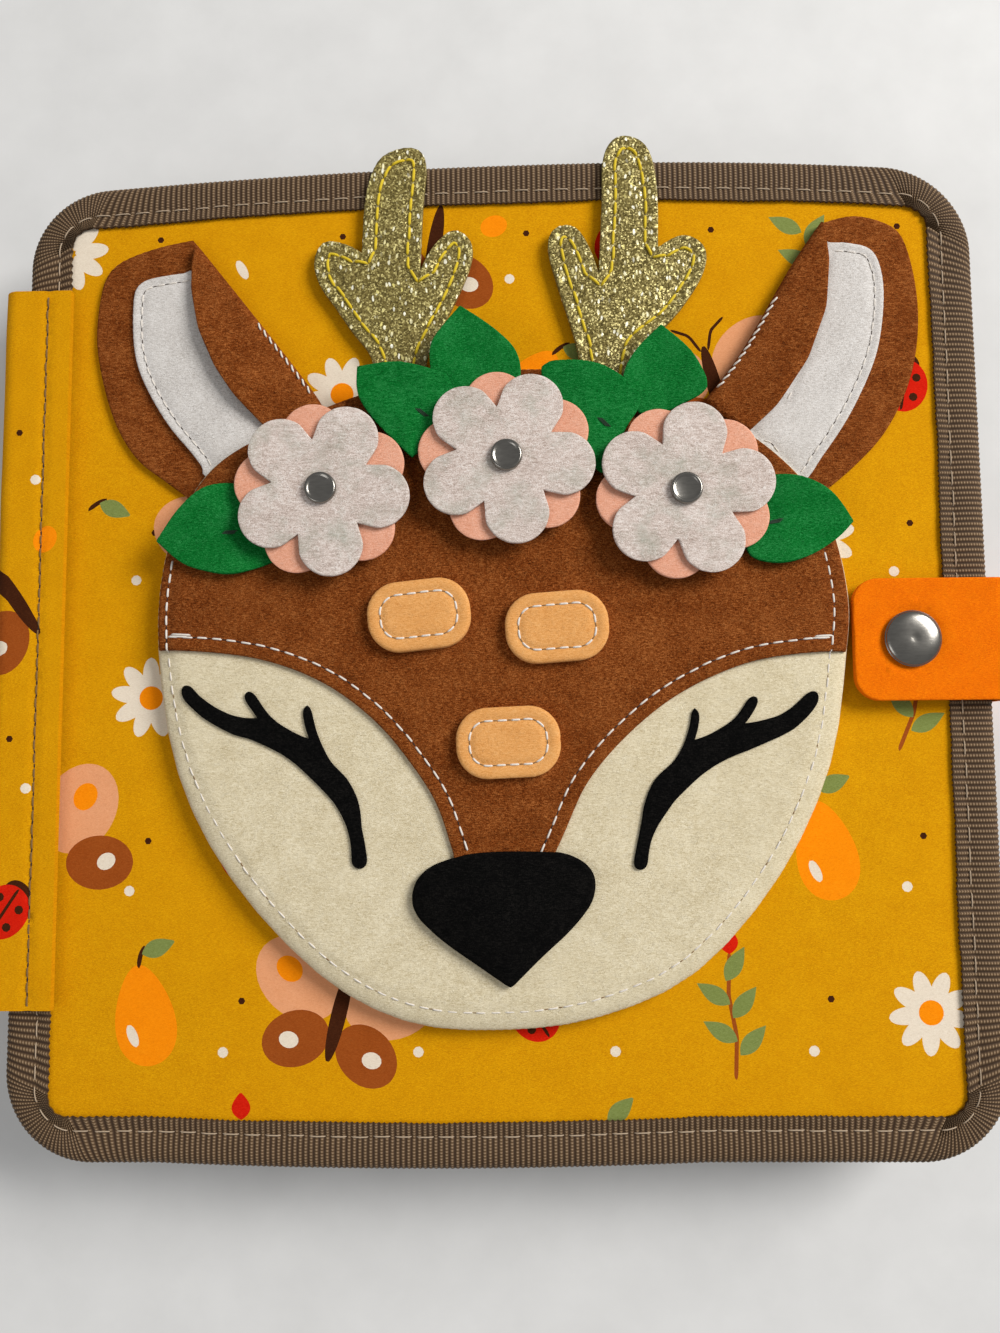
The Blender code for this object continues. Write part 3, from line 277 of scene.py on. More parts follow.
def smooth_outline(loop, step=0.9, blur=1.0, corner=50):
    """A faceted outline made smooth, with its real corners kept."""
    dense = resample(loop, DENSE)
    reach = int(1.3 / DENSE)
    before = dense - np.roll(dense, reach, axis=0)
    ahead = np.roll(dense, -reach, axis=0) - dense
    turn = np.abs(np.degrees(np.angle(np.exp(1j * (np.arctan2(ahead[:, 1], ahead[:, 0])
                                                   - np.arctan2(before[:, 1], before[:, 0]))))))
    count = len(dense)
    corners = [i for i in range(count) if turn[i] > corner
               and turn[i] >= max(turn[(i + k) % count] for k in range(-reach, reach + 1))]
    kept = []
    for i in corners:
        if not kept or i - kept[-1] > reach:
            kept.append(i)
    sigma = blur / DENSE
    width = int(3 * sigma)
    kernel = np.exp(-0.5 * (np.arange(-width, width + 1) / sigma) ** 2)
    kernel /= kernel.sum()
    if not kept:
        padded = np.vstack([dense[-width:], dense, dense[:width]])
        soft = np.stack([np.convolve(padded[:, k], kernel, "valid") for k in (0, 1)], axis=1)
        return resample(soft, step)
    pieces = []
    for a, b in zip(kept, kept[1:] + [kept[0] + count]):
        run = dense[np.arange(a, b + 1) % count]
        if len(run) > 4:
            flipped_start = 2 * run[0] - run[1:width + 1][::-1]
            flipped_end = 2 * run[-1] - run[-width - 1:-1][::-1]
            long = np.vstack([flipped_start, run, flipped_end])
            if len(long) == len(run) + 2 * width:
                run = np.stack([np.convolve(long[:, k], kernel, "valid") for k in (0, 1)],
                               axis=1)
        pieces.append(resample(run, step, closed=False)[:-1])
    return np.vstack(pieces)


def rounded_rect(left, right, bottom, top, radius, step):
    """A rounded box outline, anticlockwise from the middle of its right side."""
    middle = (bottom + top) / 2
    line = [(right, middle)]
    quarters = ((right, top, -1, -1, 0), (left, top, 1, -1, 1), (left, bottom, 1, 1, 2),
                (right, bottom, -1, 1, 3))
    for x, y, to_x, to_y, turn in quarters:
        for k in range(25):
            angle = math.pi / 2 * (turn + k / 24)
            line.append((x + to_x * radius + radius * math.cos(angle),
                         y + to_y * radius + radius * math.sin(angle)))
    return resample(line, step)


def normals_of(loop):
    """Inward normals of an anticlockwise outline."""
    along = np.roll(loop, -1, axis=0) - np.roll(loop, 1, axis=0)
    along /= np.linalg.norm(along, axis=1)[:, None] + 1e-12
    return np.stack([-along[:, 1], along[:, 0]], axis=1)


def tree_of(loops):
    points = np.vstack([resample(l, TREE_STEP) for l in loops])
    tree = KDTree(len(points))
    for i, (x, y) in enumerate(points):
        tree.insert((x, y, 0), i)
    tree.balance()
    return tree


def distances(points, tree):
    return np.array([tree.find((x, y, 0))[2] for x, y in points])


def inset(loop, depth, tree=None):
    """The outline drawn in by a depth, without the knots that tight corners would tie."""
    tree = tree or tree_of([loop])
    depth = np.broadcast_to(depth, len(loop))
    moved = loop + normals_of(loop) * depth[:, None]
    clear = distances(moved, tree) > depth * 0.93
    return moved[clear & inside(moved, [loop])]


def towards_line(points, tree):
    """For each point the way to the nearest line point, and how far it is."""
    found = [tree.find((x, y, 0)) for x, y in points]
    way = np.array([at[:2] for at, _, _ in found]) - points
    reach = np.hypot(*way.T)
    return way / np.maximum(reach, 0.001)[:, None], reach


def inside(points, loops):
    """Which points lie within the outlines, by the even-odd rule."""
    result = np.zeros(len(points), bool)
    for loop in loops:
        x0, y0 = loop.T
        x1, y1 = np.roll(loop, -1, axis=0).T
        for start in range(0, len(points), AT_ONCE):
            px, py = (points[start:start + AT_ONCE, k][:, None] for k in (0, 1))
            crosses = (y0 > py) != (y1 > py)
            with np.errstate(divide="ignore", invalid="ignore"):
                at = (x1 - x0) * (py - y0) / (y1 - y0) + x0
            hits = (crosses & (px < at)).sum(axis=1)
            result[start:start + AT_ONCE] ^= hits % 2 == 1
    return result


def hex_fill(loops, step, margin, tree, seed):
    """Points on a loose hexagonal grid within the outlines."""
    low = loops[0].min(axis=0)
    high = loops[0].max(axis=0)
    dice = np.random.default_rng(seed)
    rows = np.arange(low[1], high[1], step * HEX_ROW)
    grid = []
    for i, y in enumerate(rows):
        xs = np.arange(low[0] + (i % 2) * step / 2, high[0], step)
        grid.append(np.stack([xs, np.full(len(xs), y)], axis=1))
    grid = np.vstack(grid)
    grid = grid + dice.uniform(-HEX_STRAY, HEX_STRAY, grid.shape) * step
    grid = grid[inside(grid, loops)]
    if not len(grid):
        return grid.reshape(0, 2)
    return grid[distances(grid, tree) > margin]


def ripple(xy, size, seed):
    """A slow uneven wave over the plane, between about -1 and 1."""
    dice = np.random.default_rng(seed)
    total = np.zeros(len(xy))
    for _ in range(5):
        turn = dice.uniform(0, TAU)
        pitch = size * dice.uniform(0.7, 1.7)
        phase = dice.uniform(0, TAU)
        total += np.sin((xy[:, 0] * math.cos(turn) + xy[:, 1] * math.sin(turn)) * TAU / pitch
                        + phase)
    return total / 5


def rounding(depth, radius):
    """How far a rounded edge lies below its face at a depth in from the edge."""
    reach = np.clip(1 - depth / radius, 0, 1)
    return radius * (1 - np.sqrt(np.maximum(0, 1 - reach ** 2)))


def seed_of(name):
    return sum((i + 1) * ord(c) for i, c in enumerate(name))


# Cut pieces of cloth

class Cut:
    """A cut of felt or cloth: its outlines, and the heights of its lower and upper face.

    Heights are numbers, or functions of places in the plane. edge is the rounding of the upper
    rim, crown the rise of the middle over the rim, and each seam is a stitched line's distance
    from the edge, or a function of places that gives it.
    """

    def __init__(self, name, loops, low, high, edge=0.4, crown=0.0, crown_over=4.0, seams=(),
                 seam_depth=0.25, wave=0.06, wave_size=24.0):
        self.name = name
        self.loops = loops
        self.low = low if callable(low) else lambda xy: np.full(len(xy), float(low))
        self.high = high if callable(high) else lambda xy: np.full(len(xy), float(high))
        self.edge = edge
        self.crown = crown
        self.crown_over = crown_over
        self.seams = seams
        self.seam_depth = seam_depth
        self.wave = wave
        self.wave_size = wave_size
        self.tree = tree_of(loops)

    def depth(self, xy):
        return distances(xy, self.tree)

    def top(self, xy):
        """The upper face's height at places in the plane."""
        xy = np.asarray(xy, float)
        depth = self.depth(xy)
        z = self.high(xy) - rounding(depth, self.edge)
        z = z - self.crown * (1 - np.clip(depth / self.crown_over, 0, 1)) ** 2
        for seam in self.seams:
            line = seam(xy) if callable(seam) else seam
            z = z - self.seam_depth * np.exp(-((depth - line) / 0.55) ** 2)
        if self.wave:
            fade = np.clip(depth / 3, 0.3, 1)
            z = z - self.wave * fade * (1 + ripple(xy, self.wave_size, seed_of(self.name))) / 2
        return z

    def bottom(self, xy):
        return self.low(np.asarray(xy, float))


def triangulate(points, edges):
    """A Delaunay mesh over points that holds the given edges: its points and triangles."""
    result = delaunay_2d_cdt([Vector(p) for p in points], edges, [], 0, 1e-4)
    return (np.array([(v.x, v.y) for v in result[0]]),
            np.array([f for f in result[2] if len(f) == 3], int))


def rim_of(triangles):
    """The closed chains of edges that only one triangle uses, each in its triangle's order."""
    used = {}
    for a, b, c in triangles:
        for pair in ((a, b), (b, c), (c, a)):
            used[pair] = True
    after = {a: b for a, b in used if (b, a) not in used}
    chains = []
    while after:
        start = min(after)
        chain = []
        at = start
        while at in after:
            chain.append(at)
            at = after.pop(at)
        chains.append(chain)
    return chains


def facing_up(points, triangles):
    a, b, c = (points[triangles[:, k]] for k in range(3))
    turn = (b[:, 0] - a[:, 0]) * (c[:, 1] - a[:, 1]) - (b[:, 1] - a[:, 1]) * (c[:, 0] - a[:, 0])
    kept = triangles[np.abs(turn) > 1e-7]
    turn = turn[np.abs(turn) > 1e-7]
    kept[turn < 0] = kept[turn < 0][:, ::-1]
    return kept


def row_points(rows, start):
    """Straight rows of points across a strip, and the edges along each."""
    stations, low_y, high_y, spacing = rows
    ys = np.linspace(low_y, high_y, max(2, int((high_y - low_y) / spacing)))
    points = []
    edges = []
    for s in stations:
        base = start + len(points)
        points += [(s, y) for y in ys]
        edges += [(base + i, base + i + 1) for i in range(len(ys) - 1)]
    return points, edges


def cut_mesh(cut, step=1.5, under_step=8.0, shapes=(), bend=None, rows=None):
    """The closed body of a cut. shapes are printed (colour number, outline) pairs, bend takes
    flat places (along, across, height) to where the cloth lies, and rows are the stations along
    a strip at which it bends, its lower and upper side and the spacing of points."""
    depths = [0.12, 0.35, 0.8]
    for seam in cut.seams:
        if not callable(seam):
            depths += [seam - 0.7, seam, seam + 0.7]
    depths = sorted(d for d in set(depths) if d > 0.05)
    points = []
    edges = []
    for loop in cut.loops:
        base = len(points)
        points += [tuple(p) for p in loop]
        edges += [(base + i, base + (i + 1) % len(loop)) for i in range(len(loop))]
    for loop in cut.loops[:1]:
        for depth in depths:
            points += [tuple(p) for p in inset(loop, depth, cut.tree)]
    margin = depths[-1] + step * 0.45
    points += [tuple(p) for p in hex_fill(cut.loops, step, margin, cut.tree,
                                          seed_of(cut.name))]
    for _, shape in shapes:
        base = len(points)
        points += [tuple(p) for p in shape]
        edges += [(base + i, base + (i + 1) % len(shape)) for i in range(len(shape))]
    if rows:
        more, along = row_points(rows, len(points))
        points += more
        edges += along
    flat, triangles = triangulate(points, edges)
    triangles = triangles[inside(flat[triangles].mean(axis=1), cut.loops)]
    triangles = facing_up(flat, triangles)
    centres = flat[triangles].mean(axis=1)
    colours = np.zeros(len(triangles), int)
    for colour, shape in shapes:
        low, high = shape.min(axis=0), shape.max(axis=0)
        near = np.flatnonzero(((centres >= low) & (centres <= high)).all(axis=1))
        if len(near):
            colours[near[inside(centres[near], [shape])]] = colour
    used = np.unique(triangles)
    renumber = -np.ones(len(flat), int)
    renumber[used] = np.arange(len(used))
    flat = flat[used]
    triangles = renumber[triangles]
    chains = rim_of(triangles)
    upper = np.column_stack([flat, cut.top(flat)])
    rim = [i for chain in chains for i in chain]
    rim_xy = flat[rim]
    under_points = [tuple(p) for p in rim_xy]
    under_edges = []
    base = 0
    for chain in chains:
        under_edges += [(base + i, base + (i + 1) % len(chain)) for i in range(len(chain))]
        base += len(chain)
    extra = hex_fill(cut.loops, under_step, under_step * 0.6, cut.tree, 5)
    under_points += [tuple(p) for p in extra]
    if rows:
        more, along = row_points(rows, len(under_points))
        under_points += more
        under_edges += along
    under_flat, under = triangulate(under_points, under_edges)
    outlines = [flat[chain] for chain in chains]
    under = under[inside(under_flat[under].mean(axis=1), outlines)]
    under = facing_up(under_flat, under)[:, ::-1]
    lookup = KDTree(len(under_flat))
    for i, (x, y) in enumerate(under_flat):
        lookup.insert((x, y, 0), i)
    lookup.balance()
    offset = len(upper)
    lower = np.column_stack([under_flat, cut.bottom(under_flat)])
    faces = [tuple(t) for t in triangles] + [tuple(t + offset) for t in under]
    colours = list(colours) + [0] * len(under)
    for chain in chains:
        below = [lookup.find((*flat[i], 0))[1] + offset for i in chain]
        for k in range(len(chain)):
            n = (k + 1) % len(chain)
            faces.append((chain[k], below[k], below[n], chain[n]))
            colours.append(0)
    places = np.vstack([upper, lower])
    lay = places.copy()
    if bend:
        places = bend(places)
    return places, faces, colours, lay


def add_piece(name, places, faces, materials, colours=None, lay=None):
    """A mesh object from places in millimetres."""
    mesh = bpy.data.meshes.new(name)
    mesh.from_pydata((np.asarray(places) * MM).tolist(), [], [tuple(map(int, f)) for f in faces])
    for material in materials:
        mesh.materials.append(material)
    if colours is not None:
        mesh.polygons.foreach_set("material_index", np.asarray(colours, np.int32))
    mesh.polygons.foreach_set("use_smooth", [True] * len(mesh.polygons))
    attribute = mesh.attributes.new("lay", "FLOAT_VECTOR", "POINT")
    lay = np.asarray(places if lay is None else lay, np.float32)
    attribute.data.foreach_set("vector", lay.ravel())
    mesh.update()
    piece = bpy.data.objects.new(name, mesh)
    bpy.context.scene.collection.objects.link(piece)
    return piece


def crease(piece, angle=62):
    """Marks the mesh's sharp edges, so that smooth shading stops at them."""
    work = bmesh.new()
    work.from_mesh(piece.data)
    for edge in work.edges:
        if len(edge.link_faces) == 2 and edge.calc_face_angle(0) > math.radians(angle):
            edge.smooth = False
    work.to_mesh(piece.data)
    work.free()


def mend(mesh, weld=0.0, shortest=0.0, outward=True):
    """Joins a mesh's points that lie within weld, takes out edges below the shortest, and turns
    the faces outward."""
    work = bmesh.new()
    work.from_mesh(mesh)
    if weld:
        bmesh.ops.remove_doubles(work, verts=work.verts, dist=weld * MM)
        bmesh.ops.dissolve_degenerate(work, edges=work.edges, dist=shortest * MM)
    if outward:
        bmesh.ops.recalc_face_normals(work, faces=work.faces)
    work.to_mesh(mesh)
    work.free()


def settle(piece, body, nodes):
    """Lets a piece ride on a body and hides the frame's nodes that it stands for. In place
    of one body there may be two and two places in mm, which are not used: the piece then stays
    where it lies."""
    if isinstance(body, str):
        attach(piece, body)
    else:
        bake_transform(piece)
    if nodes:
        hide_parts(*nodes)


def smallest_box(loop):
    """The sides of the smallest box round an outline."""
    best = None
    for degrees in range(0, 90, 3):
        a = math.radians(degrees)
        turned = loop @ np.array([[math.cos(a), -math.sin(a)], [math.sin(a), math.cos(a)]])
        size = turned.max(axis=0) - turned.min(axis=0)
        if best is None or size.prod() < best.prod():
            best = size
    return best


def cloth(cut, material, body, nodes, slot, held="laid", rests_on=(), padded=None,
          more_materials=(), **mesh_options):
    """Makes a cut's piece, lets it ride on a body when given one, and hides the frame's nodes
    that it stands for.
    """
    places, faces, colours, lay = cut_mesh(cut, **mesh_options)
    piece = add_piece(cut.name, places, faces, [material, *more_materials], colours, lay)
    crease(piece)
    settle(piece, body, nodes)
    if padded is not None:
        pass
    else:
        declare_sheet(cut.loops)


def declare_sheet(loops):
    """Works out a cut's area when it is no narrower or more forked than a sheet may be; the area
    is not used.
    """
    box = smallest_box(loops[0])
    area = abs(area_of(loops[0])) - sum(abs(area_of(l)) for l in loops[1:])
    if box.min() < NARROWEST_SHEET or area < FORKED_SHARE * box.prod():
        return
    min(area, box.prod()) * MM * MM


# Threads and turned pieces

def tube_faces(rings, sides):
    """Faces of a closed tube of rings, with its two ends capped."""
    faces = []
    for r in range(rings - 1):
        for s in range(sides):
            n = (s + 1) % sides
            faces.append((r * sides + s, r * sides + n, (r + 1) * sides + n, (r + 1) * sides + s))
    faces.append(tuple(range(sides))[::-1])
    faces.append(tuple((rings - 1) * sides + s for s in range(sides)))
    return faces


def thread_mesh(lines, radius):
    """Closed tubes along lines of points that all have the same count, as one mesh."""
    lines = np.asarray(lines, float)
    count, rings, _ = lines.shape
    along = np.gradient(lines, axis=1)
    along /= np.linalg.norm(along, axis=2, keepdims=True) + 1e-12
    up = np.zeros_like(along)
    up[..., 2] = 1
    side = np.cross(along, up)
    side /= np.linalg.norm(side, axis=2, keepdims=True) + 1e-9
    up = np.cross(side, along)
    shares = np.linspace(0, 1, rings)
    swell = radius * np.clip(np.sin(math.pi * shares) * 1.6 + 0.35, 0, 1)
    lengths = np.concatenate([np.zeros((count, 1)),
                              np.cumsum(np.linalg.norm(np.diff(lines, axis=1), axis=2), axis=1)],
                             axis=1)
    places = []
    lay = []
    for s in range(THREAD_SIDES):
        a = TAU * s / THREAD_SIDES
        places.append(lines + (side * math.cos(a) + up * math.sin(a)) * swell[None, :, None])
        lay.append(np.stack([lengths, np.full((count, rings), s / THREAD_SIDES),
                             np.broadcast_to(np.arange(count)[:, None], (count, rings))],
                            axis=2))
    places = np.stack(places, axis=2).reshape(-1, 3)
    lay = np.stack(lay, axis=2).reshape(-1, 3)
    one = tube_faces(rings, THREAD_SIDES)
    size = rings * THREAD_SIDES
    faces = [tuple(i + k * size for i in face) for k in range(count) for face in one]
    return places, faces, lay


def run_of_stitches(path, height, length, gap, radius, closed=True, sink=0.35, wobble=0.06,
                    seed=1):
    """The lines of a running stitch along a path that lies on a surface."""
    path = resample(path, 0.2, closed)
    if closed:
        path = np.vstack([path, path[:1]])
    steps = np.linalg.norm(np.diff(path, axis=0), axis=1)
    at = np.concatenate([[0], np.cumsum(steps)])
    count = max(1, int(round(at[-1] / (length + gap))))
    pitch = at[-1] / count
    dice = np.random.default_rng(seed)
    shares = np.linspace(0, 1, STITCH_POINTS)
    arch = np.sin(math.pi * shares)
    rise = radius * 0.8 * arch ** 0.4 - sink * (1 - arch) ** 4
    places = []
    for k in range(count):
        start = k * pitch + dice.uniform(-0.1, 0.1) * gap
        wanted = start + shares * (pitch - gap) * dice.uniform(0.95, 1.04)
        xy = np.stack([np.interp(wanted, at, path[:, i]) for i in (0, 1)], axis=1)
        xy += dice.uniform(-wobble, wobble, 2)
        places.append(xy)
    flat = np.vstack(places)
    z = np.asarray(height(flat)).reshape(count, STITCH_POINTS) + rise
    return np.dstack([flat.reshape(count, STITCH_POINTS, 2), z[..., None]])


def middles_of(lines):
    """The middle point of each stitch."""
    return lines[:, STITCH_POINTS // 2]


def level_ground(xy):
    return np.zeros(len(xy))


def needle_holes(lines, radius):
    """Painted shade: short dark lines in the gaps between stitches, where the needle holes lie in
    shadow.
    """
    ends = lines[:, -1]
    starts = np.roll(lines[:, 0], -1, axis=0)
    near = np.linalg.norm(ends - starts, axis=1) < 2.5
    ends, starts = ends[near], starts[near]
    level = (middles_of(lines)[:, 2] - radius)[near]
    middle = (ends + starts) / 2
    along = starts - ends
    along[:, 2] = 0
    along /= np.linalg.norm(along, axis=1)[:, None] + 1e-9
    shares = np.linspace(-0.5, 0.5, 5)
    hole_shade = middle[:, None, :] + along[:, None, :] * shares[None, :, None]
    hole_shade[..., 2] = level[:, None] + 0.02
    return hole_shade


def stitched(name, lines, material, body, radius=THREAD_R, hole_shade=None):
    """One piece from the lines of stitches; holes is the material of the painted shade in the
    needle holes between them.
    """
    places, faces, lay = thread_mesh(lines, radius)
    colours = [0] * len(faces)
    materials = [material]
    # painted shade: short dark tubes in the gaps stand for the needle holes' shadow
    if hole_shade:
        more, more_faces, more_lay = thread_mesh(needle_holes(lines, radius), radius * 0.85)
        faces += [tuple(i + len(places) for i in face) for face in more_faces]
        places = np.vstack([places, more])
        lay = np.vstack([lay, more_lay])
        colours += [1] * len(more_faces)
        materials.append(hole_shade)
    settle(add_piece(name, places, faces, materials, colours, lay), body, ())


def sewn(name, path, height, stitch, thread, body, slot, hole_shade=None, **options):
    """A running stitch along a path, as one piece."""
    lines = run_of_stitches(path, height, *stitch, **options)
    stitched(name, lines, thread, body, stitch[2], hole_shade)


def turned(name, profile, centre, material, body, nodes, slot, steps=56):
    """A round piece from a closed profile of (radius, height) points."""
    places = []
    faces = []
    count = len(profile)
    for k in range(steps):
        a = TAU * k / steps
        for radius, height in profile:
            places.append((centre[0] + radius * math.cos(a), centre[1] + radius * math.sin(a),
                           height))
    for k in range(steps):
        n = (k + 1) % steps
        for i in range(count):
            j = (i + 1) % count
            faces.append((k * count + i, k * count + j, n * count + j, n * count + i))
    piece = add_piece(name, places, faces, [material])
    mend(piece.data, 0.001, 0.0005)
    crease(piece, 42)
    settle(piece, body, nodes)


# Materials

FIBRE_TURNS = (12, 74, 133)
HAIR_FIELDS = (((0.0, 0.0, 0.0), 0.42), ((31.0, 17.0, 5.0), 0.55), ((7.0, 53.0, 9.0), 0.7))


class Paint:
    """A material's node tree, with short ways to add to it."""

    def __init__(self, name):
        self.material = bpy.data.materials.new(name)
        self.material.use_nodes = True
        self.tree = self.material.node_tree
        self.shader = self.tree.nodes["Principled BSDF"]

    def add(self, kind, **settings):
        node = self.tree.nodes.new("ShaderNode" + kind)
        for key, value in settings.items():
            setattr(node, key, value)
        return node

    def feed(self, socket, value):
        if isinstance(value, bpy.types.NodeSocket):
            self.tree.links.new(value, socket)
        else:
            socket.default_value = value

    def lay(self):
        return self.add("Attribute", attribute_name="lay").outputs["Vector"]

    def math(self, operation, a, b=0.0, clamp=False):
        node = self.add("Math", operation=operation, use_clamp=clamp)
        self.feed(node.inputs[0], a)
        self.feed(node.inputs[1], b)
        return node.outputs[0]

    def times(self, a, b, clamp=False):
        return self.math("MULTIPLY", a, b, clamp)

    def plus(self, a, b):
        return self.math("ADD", a, b)

    def minus(self, a, b, clamp=False):
        return self.math("SUBTRACT", a, b, clamp)

    def wave(self, turns, per=1):
        """Goes from 1 down to 0 and back, so many times for each turn."""
        return self.plus(self.times(self.math("COSINE", self.times(turns, TAU * per)), 0.5), 0.5)

    def vector(self, operation, a, b):
        node = self.add("VectorMath", operation=operation)
        self.feed(node.inputs[0], a)
        self.feed(node.inputs[1], b)
        return node.outputs[0]

    def stretch(self, vector, scale, turn=0.0):
        node = self.add("Mapping")
        self.feed(node.inputs["Vector"], vector)
        node.inputs["Scale"].default_value = scale
        node.inputs["Rotation"].default_value = (0, 0, math.radians(turn))
        return node.outputs[0]

    def noise(self, vector, scale, detail=2.0, rough=0.5, colour=False):
        node = self.add("TexNoise")
        self.feed(node.inputs["Vector"], vector)
        node.inputs["Scale"].default_value = scale
        node.inputs["Detail"].default_value = detail
        node.inputs["Roughness"].default_value = rough
        return node.outputs["Color" if colour else "Fac"]

    def mix(self, share, a, b):
        node = self.add("Mix", data_type="RGBA")
        self.feed(node.inputs["Factor"], share)
        self.feed(node.inputs[6], rgba(a))
        self.feed(node.inputs[7], rgba(b))
        return node.outputs[2]

    def ramp(self, value, stops):
        node = self.add("ValToRGB")
        self.feed(node.inputs[0], value)
        elements = node.color_ramp.elements
        while len(elements) < len(stops):
            elements.new(0.5)
        for element, (at, colour) in zip(elements, stops):
            element.position = at
            element.color = rgba(colour)
        return node.outputs[0]

    def bump(self, height, distance, strength=1.0):
        node = self.add("Bump")
        node.inputs["Strength"].default_value = strength
        node.inputs["Distance"].default_value = distance * MM
        self.feed(node.inputs["Height"], height)
        self.feed(self.shader.inputs["Normal"], node.outputs[0])
        return node

    def finish(self, colour=None, roughness=0.9, metallic=0.0, sheen=0.0,
               sheen_tint=(1, 1, 1), specular=0.5):
        if colour is not None:
            self.feed(self.shader.inputs["Base Color"], colour)
        self.feed(self.shader.inputs["Roughness"], roughness)
        self.shader.inputs["Metallic"].default_value = metallic
        self.shader.inputs["Sheen Weight"].default_value = sheen
        self.shader.inputs["Sheen Roughness"].default_value = 0.5
        self.shader.inputs["Sheen Tint"].default_value = rgba(sheen_tint)
        self.shader.inputs["Specular IOR Level"].default_value = specular
        return self.material


def rgba(colour):
    if isinstance(colour, bpy.types.NodeSocket):
        return colour
    return (*colour[:3], 1.0)


def srgb(r, g, b):
    """A colour given as it shows on a screen, from 0 to 255, as linear light."""
    return tuple(c / 12.92 if c <= 0.04045 else ((c + 0.055) / 1.055) ** 2.4
                 for c in (r / 255, g / 255, b / 255))


def shaded(colour, share):
    return tuple(min(1.0, c * share) for c in colour)


def towards(colour, other, share):
    return tuple(a + (b - a) * share for a, b in zip(colour, other))


def felt(name, colour, pale, deep, fibre=1.0, relief=0.14, sheen=0.12, hairs=0.5, patches=None,
         mottle_share=0.1):
    """Pressed felt: crossing fibres, fine specks and slow mottling, in colour and in relief.

    The colours are as srgb takes them. hairs is how much the single fibres stand out, and patches
    a colour that shows through."""
    colour, pale, deep = srgb(*colour), srgb(*pale), srgb(*deep)
    paint = Paint(name)
    lay = paint.lay()
    strands = None
    for turn in FIBRE_TURNS:
        streak = paint.noise(paint.stretch(lay, (0.9 * fibre, 3.6 * fibre, 0.5), turn), 1.0, 3.0,
                             0.75)
        strands = streak if strands is None else paint.plus(strands, streak)
    strands = paint.times(strands, 1 / 3)
    specks = paint.noise(lay, 5.0 * fibre, 2.0, 0.6)
    mottle = paint.noise(lay, 0.16, 3.0, 0.6)
    value = paint.plus(paint.times(strands, 0.62 - mottle_share / 2),
                       paint.plus(paint.times(specks, 0.38 - mottle_share / 2),
                                  paint.times(mottle, mottle_share)))
    tone = paint.ramp(value, ((0.40, deep), (0.5, colour), (0.60, pale)))
    hair = None
    for shift, size in HAIR_FIELDS:
        field = paint.noise(paint.vector("ADD", lay, shift), size * fibre, 1.5, 0.5)
        off = paint.math("ABSOLUTE", paint.minus(field, 0.5))
        line = paint.minus(1.0, paint.times(off, 70.0), clamp=True)
        hair = line if hair is None else paint.math("MAXIMUM", hair, line)
    broken = paint.noise(lay, 0.9, 2.0, 0.6)
    hair = paint.times(hair, paint.times(paint.minus(broken, 0.42), 5.0, clamp=True))
    tone = paint.mix(paint.times(hair, hairs), tone, pale)
    if patches:
        cloud = paint.noise(lay, 0.13, 4.0, 0.62)
        cloud = paint.times(paint.minus(cloud, 0.47), 4.0, clamp=True)
        grain = paint.noise(lay, 1.6, 4.0, 0.75)
        tone = paint.mix(paint.times(cloud, grain), tone, srgb(*patches))
    paint.bump(paint.plus(strands, paint.plus(paint.times(specks, 0.5), paint.times(hair, 0.3))),
               relief)
    return paint.finish(tone, 0.95, sheen=sheen, sheen_tint=towards(colour, pale, 0.7),
                        specular=0.08)


def ribbon_material(name):
    """Ribbed ribbon: painted shade in the grooves between ribs, and on each rib a row of painted
    highlights where the yarn crosses.
    """
    paint = Paint(name)
    lay = paint.lay()
    parts = paint.add("SeparateXYZ")
    paint.feed(parts.inputs[0], lay)
    along, across = parts.outputs[0], parts.outputs[1]
    turns = paint.times(along, 1 / RIB_PITCH)
    rib = paint.wave(turns)
    offset = paint.times(paint.math("ROUND", turns), 0.36)
    yarn = paint.wave(paint.plus(paint.times(across, 1 / 0.66), offset))
    wear = paint.noise(paint.stretch(lay, (0.15, 0.4, 1)), 1.0, 3.0)
    base = paint.mix(wear, srgb(78, 57, 36), srgb(106, 82, 56))
    # painted shade: the grooves between the ribs turn a deep brown
    tone = paint.mix(paint.math("POWER", rib, 0.8), srgb(54, 38, 25), base)
    # painted highlight: pale spots on the rib crests where the yarn crosses
    painted_highlight = paint.times(paint.math("POWER", rib, 2.0), paint.math("POWER", yarn, 1.6))
    tone = paint.mix(paint.times(painted_highlight, 0.8), tone, srgb(172, 146, 116))
    paint.bump(paint.plus(paint.times(yarn, rib), rib), 0.16, 0.8)
    return paint.finish(tone, 0.7, sheen=0.08, sheen_tint=srgb(170, 150, 130), specular=0.2)


